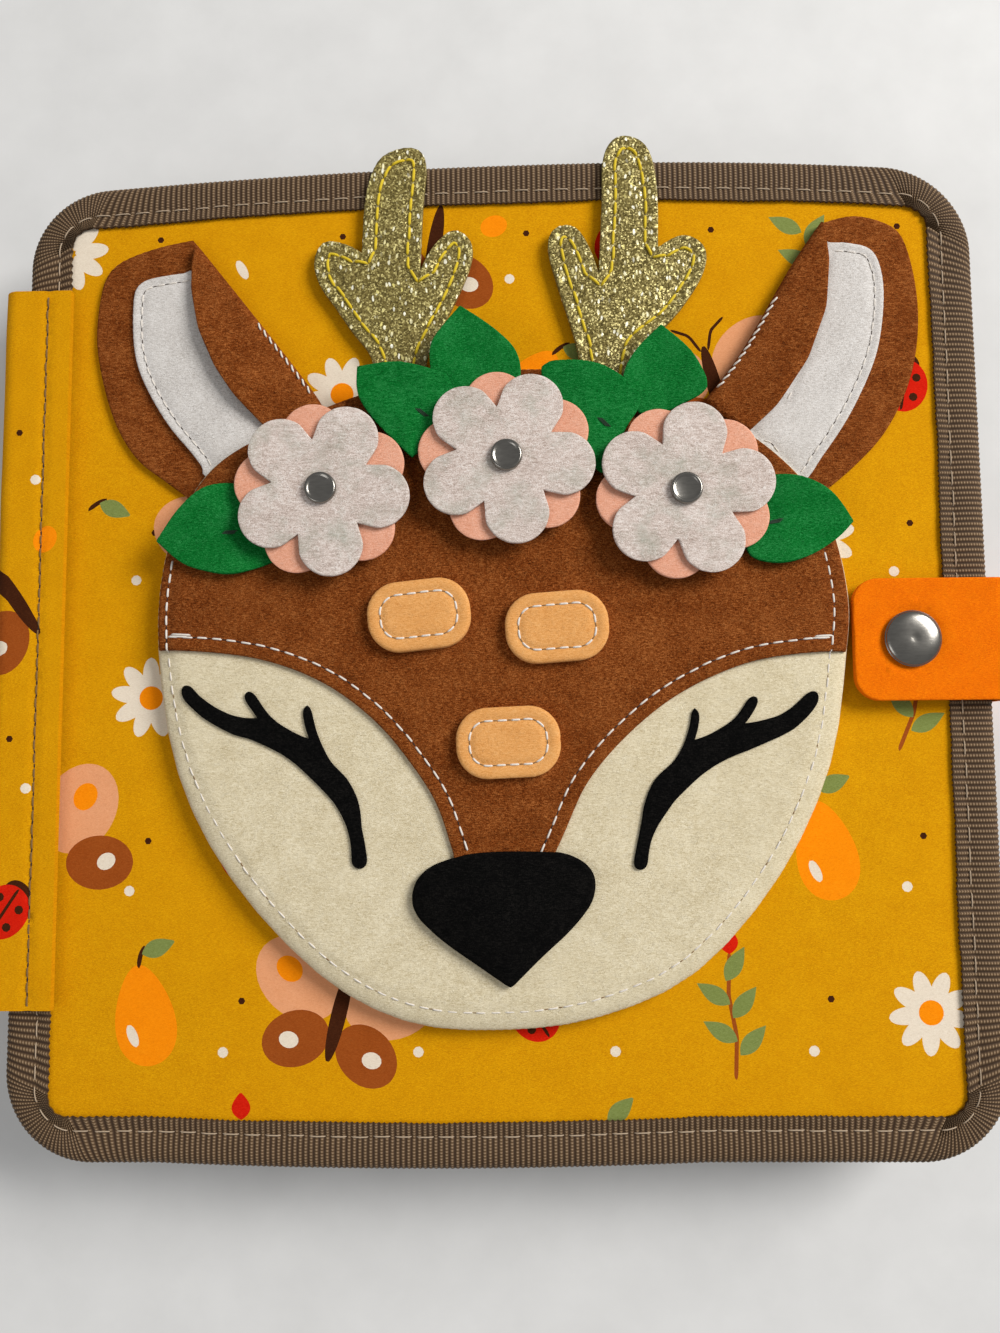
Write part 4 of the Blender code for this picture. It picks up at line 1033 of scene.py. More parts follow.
def glitter_material(name):
    """Glitter sheet: an olive ground of fine specks, with painted glints on some of its slanting
    flakes.
    """
    paint = Paint(name)
    lay = paint.lay()
    drift = paint.vector("SUBTRACT", paint.noise(lay, 0.35, 2.0, colour=True), (0.5, 0.5, 0.5))
    warped = paint.vector("ADD", lay, paint.vector("MULTIPLY", drift, (1.2, 1.2, 0.0)))
    flakes = paint.add("TexVoronoi", feature="F1")
    paint.feed(flakes.inputs["Vector"], paint.stretch(warped, (1.75, 0.85, 1.0), 15))
    flakes.inputs["Scale"].default_value = 0.68
    parts = paint.add("SeparateColor")
    paint.feed(parts.inputs[0], flakes.outputs["Color"])
    edge = paint.times(paint.minus(flakes.outputs["Distance"], 0.3), 12.0, clamp=True)
    body = paint.minus(1.0, edge, clamp=True)
    # painted glints: a share of the flakes is coloured pale as if they caught the light
    painted_glint_mask = paint.times(paint.minus(parts.outputs[0], 0.6), 9.0, clamp=True)
    painted_glint_mask = paint.times(painted_glint_mask, body)
    fine = paint.add("TexVoronoi", feature="F1")
    paint.feed(fine.inputs["Vector"], lay)
    fine.inputs["Scale"].default_value = 3.2
    grains = paint.add("SeparateColor")
    paint.feed(grains.inputs[0], fine.outputs["Color"])
    ground = paint.ramp(grains.outputs[0], ((0.0, srgb(88, 76, 36)), (0.4, srgb(118, 104, 54)),
                                            (0.8, srgb(140, 126, 72)),
                                            (0.94, srgb(186, 174, 112))))
    # the painted glints' pale yellow to white colours
    painted_highlight = paint.mix(parts.outputs[1], srgb(228, 214, 128), srgb(252, 250, 232))
    tone = paint.mix(painted_glint_mask, ground, painted_highlight)
    tilt = paint.vector("SUBTRACT", fine.outputs["Color"], (0.5, 0.5, 0.5))
    tilt = paint.vector("MULTIPLY", tilt, (0.6, 0.6, 0.0))
    facing = paint.add("VectorMath", operation="NORMALIZE")
    paint.feed(facing.inputs[0], paint.vector("ADD", paint.add("NewGeometry").outputs["Normal"],
                                              tilt))
    paint.feed(paint.shader.inputs["Normal"], facing.outputs[0])
    return paint.finish(tone, 0.4, metallic=0.25, specular=0.3)


def metal_material(name):
    """Polished plated metal with faint wiping marks."""
    paint = Paint(name)
    lay = paint.lay()
    smear = paint.noise(paint.stretch(lay, (0.5, 2.6, 1.0), 25), 1.0, 4.0, 0.6)
    tone = paint.ramp(smear, ((0.3, srgb(124, 121, 116)), (0.7, srgb(140, 137, 131))))
    rough = paint.add("MapRange")
    paint.feed(rough.inputs[0], paint.noise(lay, 1.4, 4.0, 0.6))
    rough.inputs[3].default_value = 0.2
    rough.inputs[4].default_value = 0.27
    return paint.finish(tone, rough.outputs[0], metallic=1.0)


def thread_material(name, colour, dark=0.72):
    """Twisted thread: slanting strands along its length, with painted shade in the grooves
    between them.
    """
    paint = Paint(name)
    parts = paint.add("SeparateXYZ")
    paint.feed(parts.inputs[0], paint.lay())
    slant = paint.plus(paint.times(parts.outputs[0], 1 / 0.55), parts.outputs[1])
    strand = paint.wave(slant, 2)
    # painted shade: the grooves between the twisted strands are darkened
    tone = paint.mix(strand, shaded(colour, dark), colour)
    paint.bump(strand, 0.05, 0.6)
    return paint.finish(tone, 0.7, sheen=0.2, specular=0.35)


def board_material(name):
    paint = Paint(name)
    lay = paint.add("TexCoord").outputs["Object"]
    grain = paint.noise(lay, 900.0, 5.0, 0.7)
    tone = paint.ramp(grain, ((0.35, srgb(176, 166, 148)), (0.65, srgb(214, 206, 190))))
    paint.bump(grain, 0.08, 0.5)
    return paint.finish(tone, 0.9, specular=0.3)


def cotton(name, colour, pale, deep):
    """Brushed printed cotton: finer and flatter than felt."""
    return felt(name, colour, pale, deep, fibre=1.9, relief=0.07, hairs=0.22, mottle_share=0.06)


mustard_cloth = cotton("mustard_print_ground", (208, 143, 1), (232, 172, 12), (180, 114, 0))
print_colours = [
    cotton("print_peach", (226, 156, 110), (234, 170, 128), (212, 140, 94)),
    cotton("print_brown", (150, 72, 22), (166, 88, 34), (130, 58, 12)),
    cotton("print_red", (206, 26, 6), (220, 44, 20), (184, 12, 0)),
    cotton("print_white", (228, 214, 194), (238, 226, 208), (214, 198, 176)),
    cotton("print_orange", (246, 138, 2), (252, 152, 16), (230, 120, 0)),
    cotton("print_sage", (122, 134, 70), (138, 150, 88), (104, 116, 54)),
    cotton("print_dark", (62, 28, 10), (80, 42, 20), (44, 18, 6)),
]
PEACH, CARAMEL, RED, WHITE, ORANGE, SAGE, DARK = range(1, 8)
ribbon = ribbon_material("taupe_ribbon")
glitter = glitter_material("gold_glitter")
steel = metal_material("polished_metal")
board = board_material("stiff_board")
cream_felt = felt("cream_felt", (213, 200, 168), (238, 228, 202), (176, 159, 122),
                  fibre=1.3, hairs=0.4)
white_felt = felt("white_felt", (204, 199, 194), (230, 227, 224), (166, 160, 154),
                  hairs=0.6)
brown_felt = felt("brown_felt", (116, 55, 14), (176, 108, 54), (54, 20, 1),
                  relief=0.28, hairs=0.65, sheen=0.05)
tan_felt = felt("tan_felt", (224, 160, 92), (238, 182, 118), (196, 128, 62),
                fibre=1.2, hairs=0.4)
black_felt = felt("black_felt", (3, 3, 3), (26, 24, 22), (0, 0, 0), sheen=0.0,
                  hairs=0.5)
green_felt = felt("green_felt", (0, 103, 36), (52, 144, 78), (0, 66, 16), fibre=1.2,
                  hairs=0.4, sheen=0.04)
peach_felt = felt("peach_felt", (222, 160, 132), (236, 184, 160), (202, 134, 104),
                  hairs=0.4)
blush_felt = felt("blush_felt", (202, 186, 177), (236, 228, 222), (150, 132, 121),
                  fibre=0.9, hairs=0.9, patches=(148, 154, 138))
orange_felt = felt("orange_felt", (231, 109, 0), (249, 134, 6), (205, 85, 0),
                   fibre=1.5, relief=0.1, hairs=0.3, sheen=0.05)
red_felt = felt("red_felt", (190, 52, 34), (212, 84, 64), (158, 32, 18))
ink_felt = felt("ink_felt", (46, 60, 84), (70, 86, 112), (28, 40, 60))
white_thread = thread_material("white_thread", srgb(238, 230, 220))
tan_thread = thread_material("tan_thread", srgb(190, 168, 142))
gold_thread = thread_material("gold_thread", srgb(226, 196, 20), 0.75)
brown_thread = thread_material("brown_thread", srgb(128, 96, 48))
green_thread = thread_material("green_thread", srgb(6, 52, 20))
red_thread = thread_material("red_thread", srgb(208, 112, 88))
# painted shade: dark thread colours for the shadowed needle holes between stitches
dark_hole = thread_material("dark_hole", srgb(58, 40, 26))
deep_hole = thread_material("deep_hole", srgb(40, 16, 4))
tan_hole = thread_material("tan_hole", srgb(134, 102, 66))


# The printed pattern

def blob(cx, cy, rx, ry, turn=0.0, steps=28):
    """An oval outline."""
    a = np.linspace(0, TAU, steps, endpoint=False)
    x = np.cos(a) * rx
    y = np.sin(a) * ry
    t = math.radians(turn)
    return np.stack([cx + x * math.cos(t) - y * math.sin(t),
                     cy + x * math.sin(t) + y * math.cos(t)], axis=1)


def leaf_shape(x, y, length, width, turn):
    """A leaf with a pointed tip, from its foot at a place."""
    s = np.linspace(0, 1, 12)
    half = width / 2 * np.sin(math.pi * s ** 0.8)
    side = np.stack([s * length, half], axis=1)
    back = side[::-1][1:-1] * np.array([1, -1])
    t = math.radians(turn)
    shape = np.vstack([side, back])
    return shape @ np.array([[math.cos(t), math.sin(t)], [-math.sin(t), math.cos(t)]]) + (x, y)


def stroke(points, width):
    """A line of even width with soft ends."""
    line = resample(np.array(points, float), 1.0, closed=False)
    along = np.gradient(line, axis=0)
    along /= np.linalg.norm(along, axis=1)[:, None]
    side = np.stack([-along[:, 1], along[:, 0]], axis=1) * width / 2
    taper = np.minimum(1, 0.35 + np.minimum(np.arange(len(line)),
                                            np.arange(len(line))[::-1]))[:, None]
    return np.vstack([line - side * taper, (line + side * taper)[::-1]])


def butterfly():
    shapes = []
    for side in (-1, 1):
        shapes.append((PEACH, blob(side * 10.5, 5.5, 10.5, 8.2, side * 28)))
        shapes.append((CARAMEL, blob(side * 8.0, -7.2, 7.6, 6.0, side * -32)))
        shapes.append((WHITE, blob(side * 9.4, -7.8, 2.2, 1.8)))
        shapes.append((ORANGE, blob(side * 13.0, 7.0, 3.2, 2.6, side * 28)))
        shapes.append((DARK, stroke([(side * 0.8, 9), (side * 2.6, 13.5), (side * 6.4, 16.0)],
                                    0.7)))
    shapes.append((DARK, blob(0, 0, 1.7, 10.5)))
    return shapes


def daisy():
    shapes = []
    for k in range(9):
        a = TAU * k / 9
        shapes.append((WHITE, blob(5.2 * math.cos(a), 5.2 * math.sin(a), 4.0, 1.9,
                                   math.degrees(a))))
    shapes.append((ORANGE, blob(0, 0, 2.7, 2.7)))
    return shapes


def ladybird():
    shapes = [(DARK, blob(0, 5.0, 3.0, 2.6)), (RED, blob(0, 0, 5.4, 6.2)),
              (DARK, stroke([(0, 6.0), (0, -6.0)], 0.7))]
    for x, y in ((-2.6, 2.2), (2.6, 2.2), (-2.4, -2.4), (2.4, -2.4)):
        shapes.append((DARK, blob(x, y, 1.0, 1.0, steps=16)))
    return shapes


def pear():
    s = np.linspace(0, TAU, 44, endpoint=False)
    wide = 8.4 - 3.6 * (1 + np.cos(s)) / 2
    body = np.stack([np.sin(s) * wide, np.cos(s) * 11.0], axis=1)
    return [(ORANGE, body), (WHITE, blob(-3.2, -4.0, 1.1, 2.6, 14)),
            (DARK, stroke([(0, 10.2), (0.8, 13.0), (2.2, 15.0)], 1.0)),
            (SAGE, leaf_shape(1.2, 13.2, 8.0, 4.0, 12))]


def sprig():
    shapes = [(CARAMEL, stroke([(-2, -14), (0, -5), (0, 4), (2, 13)], 0.9))]
    for y, turn in ((-9, 38), (-6, 140), (-1, 42), (2, 138), (7, 50)):
        shapes.append((SAGE, leaf_shape(0, y, 8.5, 3.8, turn)))
    shapes.append((RED, leaf_shape(2.0, 12.5, 6.0, 4.2, 84)))
    return shapes


MOTIFS = (butterfly, ladybird, sprig, daisy, pear)


def printed(left, right, bottom, top, shift=(0.0, 0.0)):
    """The pattern's shapes over a box: a staggered lattice of turned motifs and small dots."""
    across, up = 43.0, 35.0
    shapes = []
    for row in range(-6, 7):
        for column in range(-5, 6):
            x = (column + 0.5 * (row % 2)) * across + shift[0]
            y = row * up + shift[1]
            motif = MOTIFS[(column + 2 * row) % len(MOTIFS)]
            turn = math.radians((column * 47 + row * 71) % 70 - 35)
            spin = np.array([[math.cos(turn), math.sin(turn)],
                             [-math.sin(turn), math.cos(turn)]])
            parts = [(colour, shape @ spin + (x, y)) for colour, shape in motif()]
            parts.append((DARK, blob(x + across / 2, y + 3, 0.8, 0.8, steps=12)))
            parts.append((WHITE, blob(x + across / 2 - 4, y - 8, 1.2, 1.2, steps=14)))
            for colour, shape in parts:
                low, high = shape.min(axis=0), shape.max(axis=0)
                if low[0] < right and high[0] > left and low[1] < top and high[1] > bottom:
                    shapes.append((colour, resample(shape, 0.8)))
    return shapes


# Pages: panels, linings, leaves and their ribbon

def box_within(low, high, depth):
    """A page's outline, drawn in by a depth."""
    return rounded_rect(low[0] + depth, high[0] - depth, low[1] + depth, high[1] - depth,
                        COVER_R - depth, 1.5)


def make_page(name, node, material, body, slot, print_shift=None):
    low, high = node_box(node)
    cut = Cut(name, [box_within(low, high, PANEL_IN)], low[2], high[2], edge=0.3, wave=0.12,
              wave_size=55.0)
    shapes = []
    if print_shift:
        inner = box_within(low, high, PRINT_IN)
        shapes = printed(low[0] + 4, high[0] - 4, low[1] + 4, high[1] - 4, print_shift)
        shapes = [(c, s) for c, s in shapes if inside(s, [inner]).all()]
    cloth(cut, material, body, [node], slot, shapes=shapes,
          more_materials=print_colours if shapes else (), step=2.4)


def bowed(points, centre):
    """The points, moved out where a page's upper and lower sides bulge."""
    x, y = points.T
    away = y - centre[1]
    upper = 1 - ((x - BOW_TOP_AT) / np.where(x < BOW_TOP_AT, *BOW_TOP_OVER)) ** 2
    lower = 1 - ((x - BOW_LOW_AT) / BOW_LOW_OVER) ** 2
    share = np.clip((np.abs(away) - BOW_FADE_FROM) / BOW_FADE_OVER, 0, 1)
    rise = np.where(away > 0, BOW_TOP * np.clip(upper, 0, 1), -BOW_LOW * np.clip(lower, 0, 1))
    return np.stack([x, y + rise * share], axis=1)


def ribbon_paths(low, high, pitch):
    """Matching points along the ribbon's folded edge and its inner edge, how far round a corner
    each lies, and how far along it is. The inner corners are tighter than the outer ones."""
    outer = []
    inner = []
    corner = []
    width, height = high[0] - low[0], high[1] - low[1]
    centre = (low[:2] + high[:2]) / 2
    lean = COVER_R - RIBBON_W - RIBBON_INNER_R
    for turn in range(4):
        half_run = (height if turn % 2 == 0 else width) / 2 - COVER_R
        half_side = (width if turn % 2 == 0 else height) / 2
        a = math.pi / 2 * turn
        out = np.array([math.cos(a), math.sin(a)])
        side = np.array([-out[1], out[0]])
        count = int(round(2 * half_run / pitch / 2)) * 2
        for k in range(count):
            t = -half_run + 2 * half_run * k / count
            share = np.clip((abs(t) / half_run - 0.8) / 0.2, 0, 1)
            moved = t + math.copysign(lean * share ** 2, t)
            outer.append(centre + out * half_side + side * t)
            inner.append(centre + out * (half_side - RIBBON_W) + side * moved)
            corner.append((0.0, 0.0))
        arc = int(round(COVER_R * math.pi / 2 / pitch / 2)) * 2
        hub = centre + out * (half_side - COVER_R) + side * half_run
        inner_hub = centre + out * (half_side - RIBBON_W - RIBBON_INNER_R) \
            + side * (half_run + lean)
        for k in range(arc):
            b = math.pi / 2 * k / arc
            ray = out * math.cos(b) + side * math.sin(b)
            outer.append(hub + ray * COVER_R)
            inner.append(inner_hub + ray * RIBBON_INNER_R)
            corner.append((math.sin(2 * b), b))
    return bowed(np.array(outer), centre), bowed(np.array(inner), centre), np.array(corner)


def make_binding(node, body, fine):
    """Ribbed ribbon folded over a page's edge, with its looped inner edge and stitching. Each
    rib is modelled where fine is true."""
    low, high = node_box(node)
    half = (high[2] - low[2]) / 2
    middle = (high[2] + low[2]) / 2
    outer_path, inner_path, corner = ribbon_paths(low, high, RIB_PITCH / 2)
    if not fine:
        outer_path, inner_path, corner = outer_path[::2], inner_path[::2], corner[::2]
    count = len(outer_path)
    pitch = RIB_PITCH / 2 if fine else RIB_PITCH
    along = np.arange(count) * pitch
    seam_at = RIBBON_W - RIBBON_STITCH_IN
    turn = np.linspace(0, math.pi, 9)
    outer = [(u, half + dip) for u, dip in RIBBON_DIPS]
    outer += [(EDGE_ROUND - EDGE_ROUND * math.sin(a), half * math.cos(a)) for a in turn]
    outer += [(u, -half - dip) for u, dip in RIBBON_DIPS[::-1]]
    outer = np.array(outer)
    inner_half = half - RIBBON_T - 0.3
    inner = [(RIBBON_W, -half + RIBBON_T), (seam_at, -inner_half), (EDGE_ROUND, -inner_half)]
    inner += [(EDGE_ROUND - (EDGE_ROUND - RIBBON_T) * math.sin(a), -inner_half * math.cos(a))
              for a in turn[2:-2:2]]
    inner += [(EDGE_ROUND, inner_half), (seam_at, inner_half), (RIBBON_W, half - RIBBON_T)]
    inner = np.array(inner)
    section = np.vstack([outer, inner])
    tangent = np.roll(section, -1, axis=0) - np.roll(section, 1, axis=0)
    out = np.stack([tangent[:, 1], -tangent[:, 0]], axis=1)
    out /= np.linalg.norm(out, axis=1)[:, None]
    if out[4][1] < 0:
        out = -out
    crest = np.where(np.arange(count) % 2 == 0, 0.0, -1.0) if fine else np.zeros(count)
    loops = SCALLOP * np.abs(np.cos(math.pi * along / RIB_PITCH))
    sway = 0.3 * ripple(outer_path, 34.0, seed_of(node)) + 0.14 * ripple(outer_path, 6.0, 8)
    lift = 0.1 * ripple(outer_path, 9.0, seed_of(node) + 1)
    pleat = 0.3 * corner[:, 0] * np.cos(corner[:, 1] * 14)
    across = np.concatenate([np.cumsum(np.r_[0, np.linalg.norm(np.diff(outer, axis=0), axis=1)]),
                             np.cumsum(np.r_[0, np.linalg.norm(np.diff(inner, axis=0), axis=1)])])
    places = np.zeros((count, len(section), 3))
    lay = np.zeros((count, len(section), 3))
    reach = (inner_path - outer_path) / RIBBON_W
    for i, (u, z) in enumerate(section):
        share = u / RIBBON_W
        rise = crest * RIB_RISE if i < len(outer) else np.zeros(count)
        edge = (sway - loops) * share ** 4
        places[:, i, :2] = outer_path + reach * (u + edge)[:, None] \
            + reach * (out[i][0] * rise)[:, None]
        places[:, i, 2] = middle + z + out[i][1] * rise \
            + math.copysign(1, z) * (lift + pleat) * share ** 2
        lay[:, i, 0] = along
        lay[:, i, 1] = across[i]
    sides = len(section)
    faces = []
    for k in range(count):
        n = (k + 1) % count
        for i in range(sides):
            j = (i + 1) % sides
            faces.append((k * sides + i, n * sides + i, n * sides + j, k * sides + j))
    lay = lay.reshape(-1, 3)
    piece = add_piece(node + "_ribbon", places.reshape(-1, 3), faces, [ribbon], lay=lay)
    mend(piece.data)
    crease(piece, 70)
    settle(piece, body, [node])
    share = seam_at / RIBBON_W
    path = outer_path + (inner_path - outer_path) * share
    lines = []
    for face, side in ((high[2], 1), (low[2], -1)):
        run = run_of_stitches(path, level_ground, *RIBBON_STITCH, sink=0.45, wobble=0.1,
                              seed=seed_of(node))
        run[..., 2] = face + side * (run[..., 2] - 0.3)
        lines.append(run)
    stitched(node + "_stitching", np.vstack(lines), tan_thread, body,
             RIBBON_STITCH[2])


# The spine cloth and the strap, drawn flat and bent into place

def bent_round(start, top_z, bottom_z, end, radius_in, x_out, side):
    """A bend for cloth that runs over the top, down one edge of the book and underneath.

    Flat places are (along, across, height over the inner face). side is -1 at the spine and 1 at
    the fore-edge."""
    corner_x = x_out - side * radius_in
    first = abs(corner_x - start)
    quarter = radius_in * math.pi / 2
    drop = (top_z - radius_in) - (bottom_z + radius_in)
    marks = np.cumsum([first, quarter, drop, quarter])

    def bend(places):
        s, y, h = places.T
        x = np.zeros(len(s))
        z = np.zeros(len(s))
        one = s < marks[0]
        x[one] = start + side * s[one]
        z[one] = top_z + h[one]
        two = (s >= marks[0]) & (s < marks[1])
        a = (s[two] - marks[0]) / radius_in
        x[two] = corner_x + side * np.sin(a) * (radius_in + h[two])
        z[two] = top_z - radius_in + np.cos(a) * (radius_in + h[two])
        three = (s >= marks[1]) & (s < marks[2])
        x[three] = x_out + side * h[three]
        z[three] = top_z - radius_in - (s[three] - marks[1])
        four = (s >= marks[2]) & (s < marks[3])
        a = (s[four] - marks[2]) / radius_in
        x[four] = corner_x + side * np.cos(a) * (radius_in + h[four])
        z[four] = bottom_z + radius_in - np.sin(a) * (radius_in + h[four])
        five = s >= marks[3]
        x[five] = corner_x - side * (s[five] - marks[3])
        z[five] = bottom_z - h[five]
        return np.stack([x, y, z], axis=1)

    def along_at(height):
        return marks[1] + (top_z - radius_in - height)

    return bend, marks[3] + abs(end - corner_x), along_at, marks


def strip(stations, bottom, top, radii=(0, 0, 0, 0)):
    """The outline of a strip whose long sides pass through given stations, with chosen corner
    radii from the lower left anticlockwise."""
    left, right = stations[0], stations[-1]
    lower_left, lower_right, upper_right, upper_left = radii

    def corner(x, y, to_x, to_y, radius, turn):
        return [(x + to_x * radius + radius * math.cos(math.pi * (1 + turn / 2 + k / 24)),
                 y + to_y * radius + radius * math.sin(math.pi * (1 + turn / 2 + k / 24)))
                for k in range(13)] if radius else [(x, y)]

    def side(x, start, end):
        count = max(2, int(abs(end - start) / STRIP_STEP))
        return [(x, start + (end - start) * k / count) for k in range(1, count)]

    line = corner(left, bottom, 1, 1, lower_left, 0)
    line += [(s, bottom) for s in stations if left + lower_left < s < right - lower_right]
    line += corner(right, bottom, -1, 1, lower_right, 1)
    line += side(right, bottom + lower_right, top - upper_right)
    line += corner(right, top, -1, -1, upper_right, 2)
    line += [(s, top) for s in stations[::-1] if left + upper_left < s < right - upper_right]
    line += corner(left, top, 1, -1, upper_left, 3)
    line += side(left, top - upper_left, bottom + lower_left)
    return np.array(line)


def stations_of(start, end, marks, coarse=1.3):
    """Places along a strip, close together between the first and last mark."""
    line = [start]
    while line[-1] < end - 0.15:
        at = line[-1]
        close = marks[0] - 0.2 <= at <= marks[-1] + 0.2
        near_mark = [m for m in (marks[0] - 0.2, marks[-1]) if at < m < at + coarse]
        if not close and near_mark:
            line.append(near_mark[0])
        else:
            line.append(at + (0.4 if close else coarse))
    line[-1] = end
    return line


def make_spine():
    wing_low, wing_high = node_box("spine_strip_front")
    wing_end = wing_high[0] + WING_OVER
    x_in = wing_low[0] + WRAP_T
    bend, total, along_at, marks = bent_round(wing_end, wing_high[2] - WRAP_T, WRAP_T, wing_end,
                                              SPINE_BEND_R - WRAP_T, x_in, -1)
    low_y, high_y = wing_low[1], wing_high[1]
    hinges = {j["name"]: j["pos_m"][2] / MM for j in frame["joints"]}
    top_hinge, mid_hinge, low_hinge = (
        hinges[name] for name in ("front_cover_open", "leaf_1_turn", "leaf_2_turn"))
    cut_1 = along_at((top_hinge + mid_hinge) / 2)
    cut_2 = along_at((mid_hinge + low_hinge) / 2)
    runs = (("spine_cloth_top", 0, cut_1, "front_cover", "leaf_1", top_hinge,
             ["spine_strip_front"]),
            ("spine_cloth_middle", cut_1, cut_2, "leaf_1", "leaf_2", mid_hinge, []),
            ("spine_cloth_bottom", cut_2, total, "leaf_2", "back_cover", low_hinge,
             ["spine_strip_back"]))
    pattern = printed(0, total, low_y, high_y, (11.0, 9.0))
    seams = (SPINE_SEAM_IN, total - SPINE_SEAM_IN)

    def face(xy):
        groove = sum(np.exp(-((xy[:, 0] - at) / 0.7) ** 2) for at in seams)
        puff = 0.12 * ripple(xy, 26.0, 77) * np.clip((xy[:, 0] - 1) / 2, 0, 1)
        flattened = 0.12 * np.clip((xy[:, 0] - marks[2]) / 2, 0, 1)
        return WRAP_T - 0.42 * groove + puff - flattened

    for name, start, end, upper, lower, hinge, nodes in runs:
        stations = stations_of(start, end, marks)
        cut = Cut(name, [strip(stations, low_y, high_y)], 0.15, face, edge=0.02, wave=0)
        shapes = []
        for colour, shape in pattern:
            if shape[:, 0].min() > start + 0.5 and shape[:, 0].max() < end - 0.5 \
                    and shape[:, 1].min() > low_y + 1 and shape[:, 1].max() < high_y - 1:
                shapes.append((colour, shape))
        rows = (stations[1:-1], low_y, high_y, 2.6)
        bodies = (upper, lower, (0, 0, hinge + 1.3), (0, 0, hinge - 1.3))
        cloth(cut, mustard_cloth, bodies, nodes, "printed_cotton", held="folded",
              more_materials=print_colours, step=2.2, shapes=shapes, bend=bend, under_step=3.0,
              rows=rows)
    for number in (1, 2):
        node = f"spine_tab_{number}"
        low, high = node_box(node)
        page_low, page_high = node_box(f"leaf_{number}_binding")
        level = (page_low[2] + page_high[2]) / 2
        across = [x_in - 0.2 + 0.8 * k for k in range(40) if x_in - 0.2 + 0.8 * k
                  < page_low[0] + 1.6]
        outline = strip(across, low[1] + 0.3, high[1] - 0.3)
        cut = Cut(node + "_cloth", [outline], level - 0.7, level + 0.7, edge=0.25, wave=0.0)
        cloth(cut, mustard_cloth, f"leaf_{number}", [node], "printed_cotton", held="folded")
    for label, height, side, body in (("top", wing_high[2], 1, "front_cover"),
                                      ("under", 0.0, -1, "back_cover")):
        line = wing_end - SPINE_SEAM_IN
        path = np.array([(line, low_y + 0.8), (line, high_y - 0.8)])
        run = run_of_stitches(path, level_ground, *SPINE_STITCH, closed=False, wobble=0.1,
                              seed=3)
        run[..., 2] = height + side * (run[..., 2] - 0.32)
        if side < 0:
            run[..., 2] = np.maximum(run[..., 2], 0.37)
        stitched("spine_stitching_" + label, run, brown_thread, body,
                 SPINE_STITCH[2], deep_hole)


def make_strap():
    flap_low, flap_high = node_box("strap_flap")
    low_y, high_y = flap_low[1], flap_high[1]
    x_in = node_box("strap_side")[0][0]
    start, end = flap_low[0], node_box("strap_anchor")[0][0]
    bend, total, along_at, marks = bent_round(start, flap_low[2], WRAP_T, end,
                                              STRAP_BEND_R - WRAP_T, x_in, 1)
    middle = along_at(flap_high[2] / 2)
    r = STRAP_CORNER_R
    snap_low, snap_high = node_box("snap_cap")
    snap = ((snap_low[0] + snap_high[0]) / 2 - start, (snap_low[1] + snap_high[1]) / 2)

    def pressed(xy):
        away = np.hypot(xy[:, 0] - snap[0], xy[:, 1] - snap[1])
        return WRAP_T - 0.5 * np.exp(-((away - 5.6) / 1.6) ** 2)

    for name, first, last, radii, nodes, bodies in (
            ("strap_top", 0, middle, (r, 0, 0, r), ["strap_flap"],
             ("strap_flap", "strap_side", (x_in - 5.5, 0, 31.0), (x_in + 1.0, 0, 25.5))),
            ("strap_low", middle, total, (0, r, r, 0), ["strap_side", "strap_anchor"],
             ("strap_side", "back_cover", (x_in + 1.0, 0, 6.5), (x_in - 5.5, 0, 1.0)))):
        stations = stations_of(first, last, marks, coarse=1.1)
        top_piece = name == "strap_top"
        cut = Cut(name, [strip(stations, low_y, high_y, radii)], 0.02,
                  pressed if top_piece else WRAP_T, edge=0.3 if top_piece else 0.02, wave=0.1,
                  wave_size=16.0)
        rows = ([s for s in stations if first + radii[0] + 0.5 < s < last - radii[1] - 0.1],
                low_y, high_y, 1.8)
        cloth(cut, orange_felt, bodies, nodes, "orange_felt", held="folded", step=1.5, bend=bend,
              under_step=2.0, rows=rows)


# The face

def felt_outline(node, side=1, step=0.9, blur=1.0, corner=50):
    return smooth_outline(flat_loops(node, side)[0], step, blur, corner)


